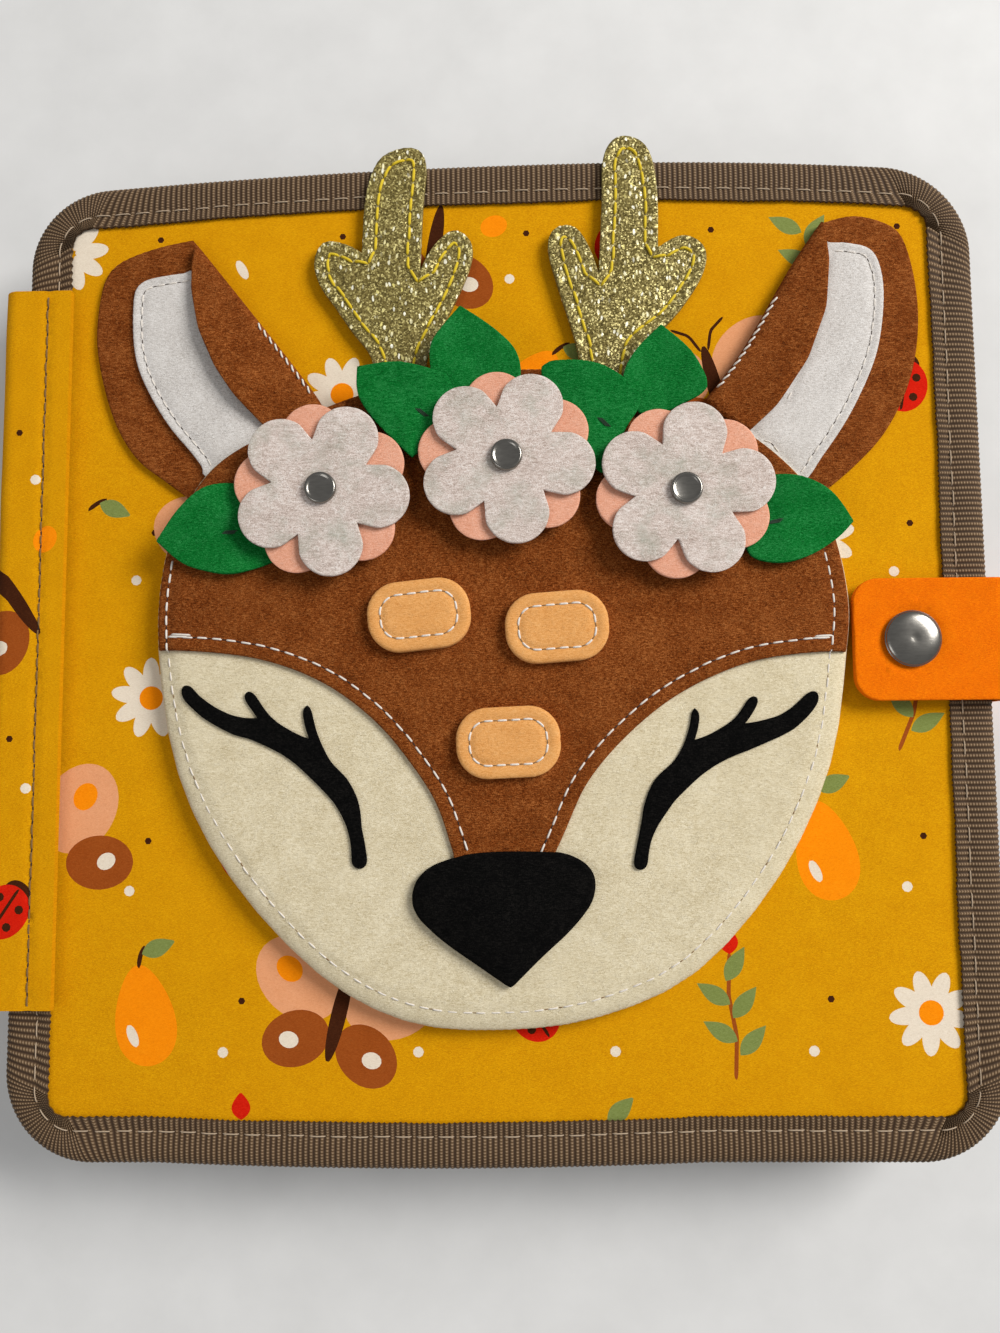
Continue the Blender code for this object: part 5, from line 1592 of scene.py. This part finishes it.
def make_ear(side):
    node = "ear_" + side
    low, high = node_box(node)
    base_outline = felt_outline(node, -1, corner=33)
    base_top = low[2] + 1.2
    base = Cut(node + "_base", [base_outline], low[2], base_top, edge=0.45, wave=0.1)
    cloth(base, brown_felt, "front_cover", [], "brown_felt", rests_on=["front_panel_cloth"],
          step=1.5)
    flap_outline = felt_outline(node, 1, corner=33)
    inner_outline = felt_outline(node + "_inner", corner=33)
    head_outline = felt_outline("head", step=1.2)
    flap_tree, head_tree = tree_of([flap_outline]), tree_of([head_outline])
    covers = [(flap_outline, flap_tree), (head_outline, head_tree)]
    by_flap = distances(inner_outline, flap_tree)
    by_head = distances(inner_outline, head_tree)
    low_end = (by_flap < TUCK_LOW_REACH) & (by_head < TUCK_LOW_OVER)
    hidden = (by_flap < TUCK_REACH) | inside(inner_outline, [flap_outline]) \
        | (by_head < TUCK_REACH) | inside(inner_outline, [head_outline])
    for step_on in range(TUCK_STEPS):
        hidden = hidden & (step_on * TUCK_STEP < TUCK_FIRST) | low_end
        tucked = distances(inner_outline, base.tree) < np.where(by_head < by_flap, 0.5, FOLD_R)
        for cover, tree in covers:
            deep = distances(inner_outline, tree) > TUCK
            tucked = tucked | (inside(inner_outline, [cover]) & deep)
        move = hidden & ~tucked
        inner_outline = inner_outline - normals_of(inner_outline) * (TUCK_STEP * move)[:, None]
    inner_outline = smooth_outline(inner_outline, 0.9, 0.8, 50)
    _, inner_high = node_box(node + "_inner")
    inner = Cut(node + "_inner_felt", [inner_outline], base_top, inner_high[2], edge=0.35,
                seams=(EAR_SEAM_IN,), seam_depth=0.3, wave=0.1)
    cloth(inner, white_felt, "front_cover", [node + "_inner"], "white_felt",
          rests_on=[node + "_base"], step=1.4)
    lines = run_of_stitches(inset(inner_outline, EAR_SEAM_IN), inner.top, *EAR_STITCH,
                            seed=seed_of(node))
    for cover, tree in covers:
        middles = middles_of(lines)[:, :2]
        lines = lines[~inside(middles, [cover]) & (distances(middles, tree) > 0.9)]
    stitched(node + "_inner_stitching", lines, white_thread, "front_cover",
             EAR_STITCH[2], dark_hole)

    def lift(xy):
        """How far the flap's free edge stands up, away from its fold and from the head."""
        out = np.clip(distances(xy, base.tree) / 11.0, 0, 1)
        clear = np.clip((distances(xy, head_tree) - 1.5) / 12.0, 0, 1)
        return 1.5 * out ** 1.6 * clear * clear * (3 - 2 * clear)

    def upper(xy):
        return high[2] - rounding(distances(xy, base.tree), FOLD_R) + lift(xy)

    def lower(xy):
        share = np.clip((distances(xy, base.tree) - 0.6) / 0.8, 0, 1)
        return (low[2] + 0.4) * (1 - share) + (high[2] - 1.2) * share + lift(xy)

    flap = Cut(node + "_flap", [flap_outline], lower, upper, edge=0.35, wave=0.12)
    cloth(flap, brown_felt, "front_cover", [node], "brown_felt", held="folded",
          rests_on=[node + "_inner_felt"], step=1.5, under_step=1.5)
    start, end = on_plane(OVERCAST_PX[side], high[2])
    edge = resample(base_outline, OVERCAST_STEP)
    first = np.argmin(np.hypot(*(edge - start).T))
    last = np.argmin(np.hypot(*(edge - end).T))
    span = (last - first) % len(edge)
    if span > len(edge) / 2:
        first, last = last, first
        span = (last - first) % len(edge)
    edge = edge[np.arange(first, first + span) % len(edge)]
    inward = normals_of(edge)
    inward[0], inward[-1] = inward[1], inward[-2]
    lines = []
    depth = np.array(OVERCAST_DEPTHS)
    heights = high[2] - rounding(depth, FOLD_R) + np.array(OVERCAST_RISES)
    for k in range(int(span * OVERCAST_STEP / OVERCAST_PITCH)):
        rows = (k + np.linspace(0.02, 0.98, STITCH_POINTS)) * OVERCAST_PITCH / OVERCAST_STEP
        rows = np.clip(rows.astype(int), 0, span - 1)
        lines.append(np.column_stack([edge[rows] + inward[rows] * depth[:, None], heights]))
    stitched(node + "_overcast", np.array(lines), white_thread, "front_cover",
             0.22)


def make_antler(side):
    node = "antler_" + side
    low, high = node_box(node)
    outline = felt_outline(node, 1, corner=60)
    cut = Cut(node + "_glitter", [outline], low[2], high[2], edge=0.3, seams=(ANTLER_SEAM_IN,),
              seam_depth=0.25, wave=0.12, wave_size=12.0)
    cloth(cut, glitter, "front_cover", [node], "glitter", rests_on=["front_binding_ribbon"],
          step=1.2)
    sewn(node + "_stitching", inset(outline, ANTLER_SEAM_IN), cut.top, ANTLER_STITCH,
         gold_thread, "front_cover", "glitter", sink=0.12, wobble=0.15, seed=seed_of(node))


def make_head():
    low, high = node_box("head")
    panel_top = node_box("front_panel")[1][2]
    outline = felt_outline("head")
    over = [felt_outline(node + side, face, 1.5) for node, face in (("ear_", -1), ("antler_", 1))
            for side in ("left", "right")]
    over_tree = tree_of(over)
    seam_middle, seam_from = ((low + high) / 2)[:2]

    def underside(xy):
        """Down to the cover, or on the ears and antlers where they pass under the rim."""
        clear = distances(xy, over_tree)
        for shape in over:
            clear[inside(xy, [shape])] = 0
        share = np.clip((clear - 0.5) / 3.0, 0, 1)
        share = share * share * (3 - 2 * share)
        return (low[2] - 0.1) * (1 - share) + (panel_top + 0.1) * share

    def seam(xy):
        share = np.clip((seam_from - xy[:, 1]) / HEAD_SEAM_OVER, 0, 1)
        share = np.maximum(share, np.clip((xy[:, 0] - seam_middle) / HEAD_SEAM_OVER, 0, 1))
        return HEAD_SEAM_IN + (HEAD_SEAM_LOW_IN - HEAD_SEAM_IN) * share

    head = Cut("head_felt", [outline], underside, high[2], edge=0.7, crown=HEAD_DROP,
               crown_over=HEAD_SLOPE, seams=(seam,), seam_depth=0.35, wave=0.16,
               wave_size=40.0)
    cloth(head, cream_felt, "front_cover", ["head", "head_backing"], "cream_felt", padded=0.5,
          step=1.4, under_step=2.0)
    mask_outline = felt_outline("mask", blur=2.2, corner=55)
    nose_low, nose_high = node_box("nose")
    gather_from = nose_high[1] + MASK_TAPER_OVER
    taper = np.clip((gather_from - mask_outline[:, 1]) / MASK_TAPER_OVER, 0, 1) ** 1.6
    mask_middle = (nose_low[0] + nose_high[0]) / 2
    outward = np.sign(mask_outline[:, 0] - mask_middle)
    mask_outline[:, 0] -= outward * taper * np.where(outward < 0, *MASK_TAPER)
    rim_way, rim_reach = towards_line(mask_outline, head.tree)
    least = rim_reach.min()
    wanted = MASK_RIM_GAP + (rim_reach - least) * (MASK_RIM_OVER - MASK_RIM_GAP) \
        / (MASK_RIM_OVER - least)
    shift = np.where(rim_reach < MASK_RIM_OVER, rim_reach - wanted, 0)
    mask_outline = resample(mask_outline + rim_way * shift[:, None], 0.9)
    mask = Cut("mask_felt", [mask_outline], lambda xy: head.top(xy) + 0.03,
               lambda xy: head.top(xy) + MASK_T, edge=0.45, seams=(MASK_SEAM_IN,),
               seam_depth=0.28, wave=0.1, wave_size=30.0)
    cloth(mask, brown_felt, "front_cover", ["mask"], "brown_felt", rests_on=["head_felt"],
          step=1.5, under_step=2.2)

    def surface(xy):
        z = head.top(xy)
        on_mask = inside(xy, [mask_outline])
        if on_mask.any():
            z[on_mask] = mask.top(xy[on_mask])
        return z

    rim = inset(outline, seam(outline))
    lines = run_of_stitches(rim, surface, *HEAD_STITCH, seed=11)
    lines = lines[middles_of(lines)[:, 1] < on_plane([HEAD_SEAM_TOP_PX], high[2])[0][1]]
    on_mask = inside(middles_of(lines)[:, :2], [mask_outline])
    stitched("head_stitching", lines[~on_mask], white_thread, "front_cover",
             HEAD_STITCH[2], tan_hole)
    stitched("mask_side_stitching", lines[on_mask], white_thread, "front_cover",
             0.24, deep_hole)
    edge = inset(mask_outline, MASK_SEAM_IN)
    near_rim = distances(edge, head.tree) < MASK_SEAM_IN + MASK_RIM_GAP + 0.7
    by_nose = (edge[:, 1] < nose_high[1] + 3.4) & (np.abs(edge[:, 0] - mask_middle) < 9.4)
    keep = ~near_rim & ~by_nose & (edge[:, 1] > nose_high[1] + 0.2) \
        & (edge[:, 1] < on_plane([MASK_SEAM_TOP_PX], high[2])[0][1])
    order = np.flatnonzero(~keep)
    edge = np.roll(edge, -order[0], axis=0)
    keep = np.roll(keep, -order[0])
    changes = np.flatnonzero(np.diff(keep.astype(int))) + 1
    runs = [run for run, on in zip(np.split(edge, changes), np.split(keep, changes))
            if on[0] and len(run) > 8]
    foot = nose_high[1] - 0.7
    for k, run in enumerate(runs):
        for flip in (1, -1):
            run = run[::flip]
            if run[0][1] < nose_high[1] + 8:
                run = run[3:]
                way = run[0] - run[5]
                steps = np.arange(0, 1, 0.1)[:, None] * (foot - run[0][1]) / way[1]
                run = np.vstack([(run[0] + way * steps)[::-1], run[1:]])
            elif distances(run[:1], head.tree)[0] < MASK_SEAM_IN + 3:
                way = (run[1] - run[6]) / np.hypot(*(run[1] - run[6]))
                gap = distances(run[:1], head.tree)[0] - seam(run[:1])[0]
                run = np.vstack([run[0] + way * max(gap - 0.2, 0.1), run])
            run = run[::flip]
        runs[k] = run
    lines = np.vstack([run_of_stitches(run, mask.top, *MASK_STITCH, closed=False, seed=21 + k)
                       for k, run in enumerate(runs)])
    stitched("mask_stitching", lines, white_thread, "front_cover", MASK_STITCH[2],
             deep_hole)
    ends = []
    for run in runs:
        for tail in (run[:12], run[-12:][::-1]):
            if distances(tail[:1], head.tree)[0] < HEAD_SEAM_LOW_IN + 2:
                ends += [run_of_stitches(tail + shift, mask.top, 5.0, 0.1, 0.2, closed=False,
                                         seed=51)[:1] for shift in ((0.0, 0.1), (0.6, 0.5))]
    if ends:
        stitched("mask_thread_ends", np.vstack(ends), white_thread, "front_cover",
                 0.22)
    return head, mask, surface


def oval_box(centre, size, radius, tilt):
    """A small rounded box outline, turned by a tilt in degrees."""
    half = np.array(size) / 2
    loop = rounded_rect(-half[0], half[0], -half[1], half[1], radius, 0.7)
    a = math.radians(tilt)
    return loop @ np.array([[math.cos(a), math.sin(a)], [-math.sin(a), math.cos(a)]]) + centre


def make_features(head, mask):
    nose_top = node_box("nose")[1][2]
    nose_outline = smooth_outline(flat_loops("nose", -1)[0], 0.8, 0.6, 60)
    nose_outline = nose_outline - normals_of(nose_outline) * 0.55
    nose = Cut("nose_felt", [nose_outline], lambda xy: head.top(xy) + 0.03, nose_top, edge=0.9,
               crown=0.9, crown_over=7.0, seams=(1.4,), seam_depth=0.25, wave=0.1)
    cloth(nose, black_felt, "front_cover", ["nose"], "black_felt", padded=0.7, step=1.1)
    for side, points in (("left", LASH_LEFT_PX), ("right", LASH_RIGHT_PX)):
        node = "lash_" + side
        level = node_box(node)[1][2]
        drawn = on_plane(points, level)
        if area_of(drawn) < 0:
            drawn = drawn[::-1]
        outline = smooth_outline(drawn, 0.5, 0.75, 80)
        lash = Cut(node + "_felt", [outline], lambda xy: head.top(xy) + 0.03,
                   lambda xy: head.top(xy) + 0.7, edge=0.3, wave=0.05)
        cloth(lash, black_felt, "front_cover", [node], "black_felt", rests_on=["head_felt"],
              step=0.9, under_step=2.0)
    for number, (x, y, tilt) in enumerate(SPOTS_PX, 1):
        node = "spot_" + str(number)
        level = node_box(node)[1][2]
        centre = on_plane([(x, y)], level)[0]
        outline = oval_box(centre, SPOT_SIZE, SPOT_R, tilt)
        spot = Cut(node + "_felt", [outline], lambda xy: mask.top(xy) + 0.03, level,
                   edge=0.55, crown=0.35, crown_over=3.0, seams=(SPOT_SEAM_IN,), seam_depth=0.5,
                   wave=0.05)
        cloth(spot, tan_felt, "front_cover", [node], "tan_felt", padded=0.5, step=1.0)
        sewn(node + "_stitching", inset(outline, SPOT_SEAM_IN), spot.top, SPOT_STITCH,
             white_thread, "front_cover", "tan_felt", tan_hole, seed=seed_of(node))


def make_greens(head, surface):
    centres = [sum(node_box(f"rivet_{k}"))[:2] / 2 for k in (1, 2, 3)]
    pinches = on_plane([(x, y) for x, y, _ in PINCHES_PX], node_box("green_leaf_1")[1][2])
    petals = [node_box(f"petals_low_{k}") for k in (1, 2, 3)]
    petals_from = min(low[2] for low, high in petals)
    petal_reach = max(np.hypot(*(flat_loops(f"petals_low_{k + 1}")[0] - centres[k]).T).max()
                      for k in range(3))

    def swept(xy):
        """How far places lie outside every circle that the petals turn through."""
        out = np.min([np.hypot(*(xy - centre).T) for centre in centres], axis=0)
        return np.clip((out - petal_reach - 0.5) / 6, 0, 1)

    for number in range(1, 7):
        node = "green_leaf_" + str(number)
        low, high = node_box(node)
        outline = smooth_outline(flat_loops(node)[0], 0.7, 0.6, 35)
        middle = outline.mean(axis=0)
        root = min(centres, key=lambda c: np.hypot(*(c - middle)))
        away = (middle - root) / np.hypot(*(middle - root))
        own = [i for i, at in enumerate(pinches) if inside(np.array([at]), [outline])[0]]

        def shape(xy):
            out = np.maximum(0, (xy - root) @ away - 12.0)
            side = (xy - root) @ np.array([-away[1], away[0]])
            z = 0.25 * np.sin(out / 9.0) + 0.012 * side ** 2 * np.clip(out / 10, 0, 1)
            z = np.minimum(z, 0.8 * swept(xy)) \
                - 0.3 * np.exp(-(side / 0.9) ** 2) * np.exp(-(out / 9.0) ** 2)
            for i in own:
                z = z - 0.55 * np.exp(-(np.hypot(*(xy - pinches[i]).T) / 1.4) ** 2)
            return z

        def under(xy):
            floor = np.where(inside(xy, head.loops), surface(xy), low[2] - 9) + 0.05
            return np.maximum(low[2] + np.minimum(shape(xy), 0.3), floor)

        def over(xy):
            z = np.maximum(high[2] + shape(xy), under(xy) + (high[2] - low[2]) * 0.7)
            return np.minimum(z, petals_from - 0.12 + 2 * swept(xy))

        cut = Cut(node + "_felt", [outline], under, over, edge=0.3, wave=0.1, wave_size=14.0)
        cloth(cut, green_felt, "front_cover", [node], "green_felt", rests_on=["mask_felt"],
              step=0.9, under_step=1.6)
        lines = []
        for i in own:
            turn = math.radians(PINCHES_PX[i][2])
            along = np.array([math.cos(turn), math.sin(turn)])
            side = np.array([-along[1], along[0]])
            for k in (-1, 0, 1):
                at = np.linspace(-1.6, 1.4, 7)[:, None]
                xy = pinches[i] + along * (at + 0.3 * k) + side * (0.28 * k)
                z = cut.top(xy) + 0.18 * np.sin(np.linspace(0, math.pi, 7)) - 0.02
                lines.append(np.column_stack([xy, z]))
        if lines:
            stitched(node + "_pinch", np.array(lines), green_thread, "front_cover",
                     0.14)


def make_flowers():
    for number in (1, 2, 3):
        body = "flower_" + str(number)
        rivet = "rivet_" + str(number)
        rivet_low, rivet_high = node_box(rivet)
        centre = ((rivet_low + rivet_high) / 2)[:2]
        for layer, material, slot in (("low", peach_felt, "peach_felt"),
                                      ("high", blush_felt, "blush_felt")):
            node = f"petals_{layer}_{number}"
            low, high = node_box(node)
            outline = smooth_outline(flat_loops(node)[0], 0.8, 0.9, 45)

            def curl(xy):
                away = np.hypot(*(xy - centre).T)
                wave = ripple(xy, 20.0, number * 7 + len(layer))
                return 0.12 * wave * np.clip((away - 6) / 10, 0, 1)

            cut = Cut(node + "_felt", [outline], lambda xy: low[2] + 0.15 + curl(xy),
                      lambda xy: high[2] - 0.15 + curl(xy), edge=0.3, wave=0.0)
            cloth(cut, material, body, [node], slot, rests_on=["head_felt"], step=1.1,
                  under_step=1.6)
        make_rivet_cap(rivet, centre, "front_cover")


def make_rivet_cap(node, centre, body):
    """A flat cap with a raised, rounded rim, its shank and its foot."""
    low, high = node_box(node)
    top = high[2]
    under_cap = top - 0.9
    foot = low[2] + (0.6 if node == "clock_rivet" else 0.8)
    profile = [(0, top - 0.28), (2.35, top - 0.28), (2.6, top - 0.2), (2.85, top - 0.02),
               (3.1, top), (3.3, top - 0.1), (3.45, top - 0.32), (3.5, under_cap),
               (1.5, under_cap), (1.5, foot), (3.0, foot), (3.0, low[2]), (0, low[2])]
    turned(node + "_metal", profile, centre, steel, body, [node], "steel")


def make_snap():
    low, high = node_box("snap_cap")
    centre = ((low + high) / 2)[:2]
    top = high[2]
    bottom = top - 1.5
    dome = [(1.7 + 4.3 * math.sin(a), bottom + 0.35 + 1.15 * math.cos(a))
            for a in np.linspace(0, math.pi / 2, 16)]
    profile = ([(0, top - 0.09), (0.45, top - 0.075), (0.8, top - 0.03), (1.2, top)] + dome
               + [(6.2, bottom + 0.25), (6.2, bottom + 0.1), (6.1, bottom), (1.5, bottom),
                  (1.5, low[2]), (0, low[2])])
    turned("snap_cap_metal", profile, centre, steel, "strap_flap", ["snap_cap"], "steel", 72)
    low, high = node_box("snap_socket")
    profile = [(2.3, low[2]), (5.0, low[2]), (5.2, low[2] + 0.2), (5.2, high[2] - 0.15),
               (5.0, high[2]), (2.5, high[2]), (2.3, high[2] - 0.2)]
    turned("snap_socket_metal", profile, centre, steel, "strap_flap", ["snap_socket"], "steel")
    low, high = node_box("snap_stud")
    profile = [(0, high[2]), (1.6, high[2]), (2.0, high[2] - 0.25), (1.8, high[2] - 0.6),
               (2.0, high[2] - 0.9), (4.4, high[2] - 0.9), (5.0, high[2] - 1.2),
               (5.0, high[2] - 1.5), (1.2, high[2] - 1.5), (1.2, low[2]), (0, low[2])]
    turned("snap_stud_metal", profile, centre, steel, "front_cover", ["snap_stud"], "steel")


# The clock page

def make_clock():
    low, high = node_box("clock_dial")
    centre = ((low + high) / 2)[:2]
    radius = (high[0] - low[0]) / 2
    ring = blob(centre[0], centre[1], radius, radius, steps=400)
    dial = Cut("clock_dial_felt", [ring], low[2], high[2], edge=0.4, seams=(DIAL_SEAM_IN,),
               wave=0.1)
    cloth(dial, white_felt, "leaf_1", ["clock_dial"], "white_felt",
          rests_on=["leaf_1_front_felt"], step=2.4)
    sewn("clock_dial_stitching", inset(ring, DIAL_SEAM_IN), dial.top, DIAL_STITCH, red_thread,
         "leaf_1", "white_felt", dark_hole, seed=31)
    for hour in range(1, 13):
        angle = math.radians(90 - 30 * hour)
        letters = bpy.data.curves.new(f"numeral_{hour}", "FONT")
        letters.body = str(hour)
        letters.size = NUMERAL_SIZE * MM
        letters.extrude = NUMERAL_HALF_T * MM
        letters.align_x = "CENTER"
        letters.align_y = "CENTER"
        raised = bpy.data.objects.new(f"numeral_{hour}_curve", letters)
        bpy.context.scene.collection.objects.link(raised)
        bpy.context.view_layer.update()
        solid = bpy.data.meshes.new_from_object(
            raised.evaluated_get(bpy.context.evaluated_depsgraph_get()))
        bpy.data.objects.remove(raised)
        mend(solid, 0.002, 0.002, outward=False)
        co = np.zeros(len(solid.vertices) * 3)
        solid.vertices.foreach_get("co", co)
        co = co.reshape(-1, 3) / MM
        reach = radius - NUMERALS_IN
        co[:, 0] += centre[0] + reach * math.cos(angle)
        co[:, 1] += centre[1] + reach * math.sin(angle)
        co[:, 2] += high[2] + NUMERAL_HALF_T
        faces = [tuple(p.vertices) for p in solid.polygons]
        piece = add_piece(f"numeral_{hour}", co, faces, [ink_felt])
        crease(piece)
        settle(piece, "leaf_1", ())
        bpy.data.meshes.remove(solid)
    for name in ("hour_hand", "minute_hand"):
        hand_low, hand_high = node_box(name)
        outline = smooth_outline(flat_loops(name)[0], 0.8, 0.5, 40)
        hand = Cut(name + "_felt", [outline], hand_low[2], hand_high[2], edge=0.35,
                   seams=(HAND_SEAM_IN,), seam_depth=0.2, wave=0.05)
        cloth(hand, red_felt, name, [name], "red_felt", rests_on=["clock_dial_felt"], step=1.1)
        sewn(name + "_stitching", inset(outline, HAND_SEAM_IN), hand.top, HAND_STITCH,
             white_thread, name, "red_felt", dark_hole, seed=41)
    make_rivet_cap("clock_rivet", centre, "leaf_1")


# Build it all

for part, print_shift in (("front", (8.0, -14.0)), ("back", (-6.0, 10.0))):
    make_page(part + "_panel_cloth", part + "_panel", mustard_cloth, part + "_cover",
              "printed_cotton", print_shift)
    make_page(part + "_lining_felt", part + "_lining", cream_felt, part + "_cover", "cream_felt")
for number in (1, 2):
    for face in ("front", "back"):
        make_page(f"leaf_{number}_{face}_felt", f"leaf_{number}_{face}", cream_felt,
                  f"leaf_{number}", "cream_felt")
for part in ("front", "back"):
    make_binding(part + "_binding", part + "_cover", fine=True)
for part in ("leaf_1", "leaf_2"):
    make_binding(part + "_binding", part, fine=False)
make_spine()
make_strap()
for side in ("left", "right"):
    make_ear(side)
    make_antler(side)
head_cut, mask_cut, face_surface = make_head()
make_features(head_cut, mask_cut)
make_greens(head_cut, face_surface)
make_flowers()
make_snap()
make_clock()

for node, material in (("front_core", board), ("back_core", board), ("stud_washer", steel)):
    frame["nodes"][node].data.materials.clear()
    frame["nodes"][node].data.materials.append(material)


# Floor, light and camera

def make_stage():
    span = 4000.0
    floor = add_piece("floor", [(-span, -span, 0), (span, -span, 0), (span, span, 0),
                                (-span, span, 0)], [(0, 1, 2, 3)], [])
    paint = Paint("pale_floor")
    speck = paint.noise(paint.lay(), 0.05, 4.0, 0.6)
    tone = paint.ramp(speck, ((0.3, (0.66, 0.66, 0.655)), (0.7, (0.71, 0.71, 0.705))))
    floor.data.materials.append(paint.finish(tone, 0.7, specular=0.2))


def area_light(name, at, target, size, power, colour=(1, 1, 1)):
    data = bpy.data.lights.new(name, "AREA")
    data.energy = power
    data.size = size
    data.color = colour
    lamp = bpy.data.objects.new(name, data)
    lamp.location = at
    lamp.rotation_euler = (Vector(target) - Vector(at)).to_track_quat("-Z", "Y").to_euler()
    bpy.context.scene.collection.objects.link(lamp)


def make_camera():
    data = bpy.data.cameras.new("photo_camera")
    camera = bpy.data.objects.new("photo_camera", data)
    forward = Vector(CAMERA_FORWARD).normalized()
    up = Vector(CAMERA_UP)
    right = forward.cross(up).normalized()
    up = right.cross(forward)
    turn = Matrix((right, up, -forward)).transposed()
    camera.matrix_world = Matrix.Translation(Vector(CAMERA_AT) * MM) @ turn.to_4x4()
    data.sensor_width = SENSOR
    data.lens = FOCAL_PX / PHOTO_SIZE[1] * SENSOR
    data.clip_start = 0.01
    data.clip_end = 20
    bpy.context.scene.collection.objects.link(camera)
    bpy.context.scene.camera = camera


def make_light():
    world = bpy.data.worlds.new("soft_world")
    world.use_nodes = True
    ground = world.node_tree.nodes["Background"]
    ground.inputs["Color"].default_value = (1, 1, 1, 1)
    ground.inputs["Strength"].default_value = 0.33
    bpy.context.scene.world = world
    area_light("key", (0.97, 0.54, 0.9), (0, 0, 0.02), 0.65, 22.6, (1.0, 0.98, 0.95))
    area_light("fill", (-0.4, -0.3, 0.6), (0, 0, 0.02), 0.3, 0.7)


make_stage()
make_light()
make_camera()
bpy.context.scene.view_settings.view_transform = "Standard"
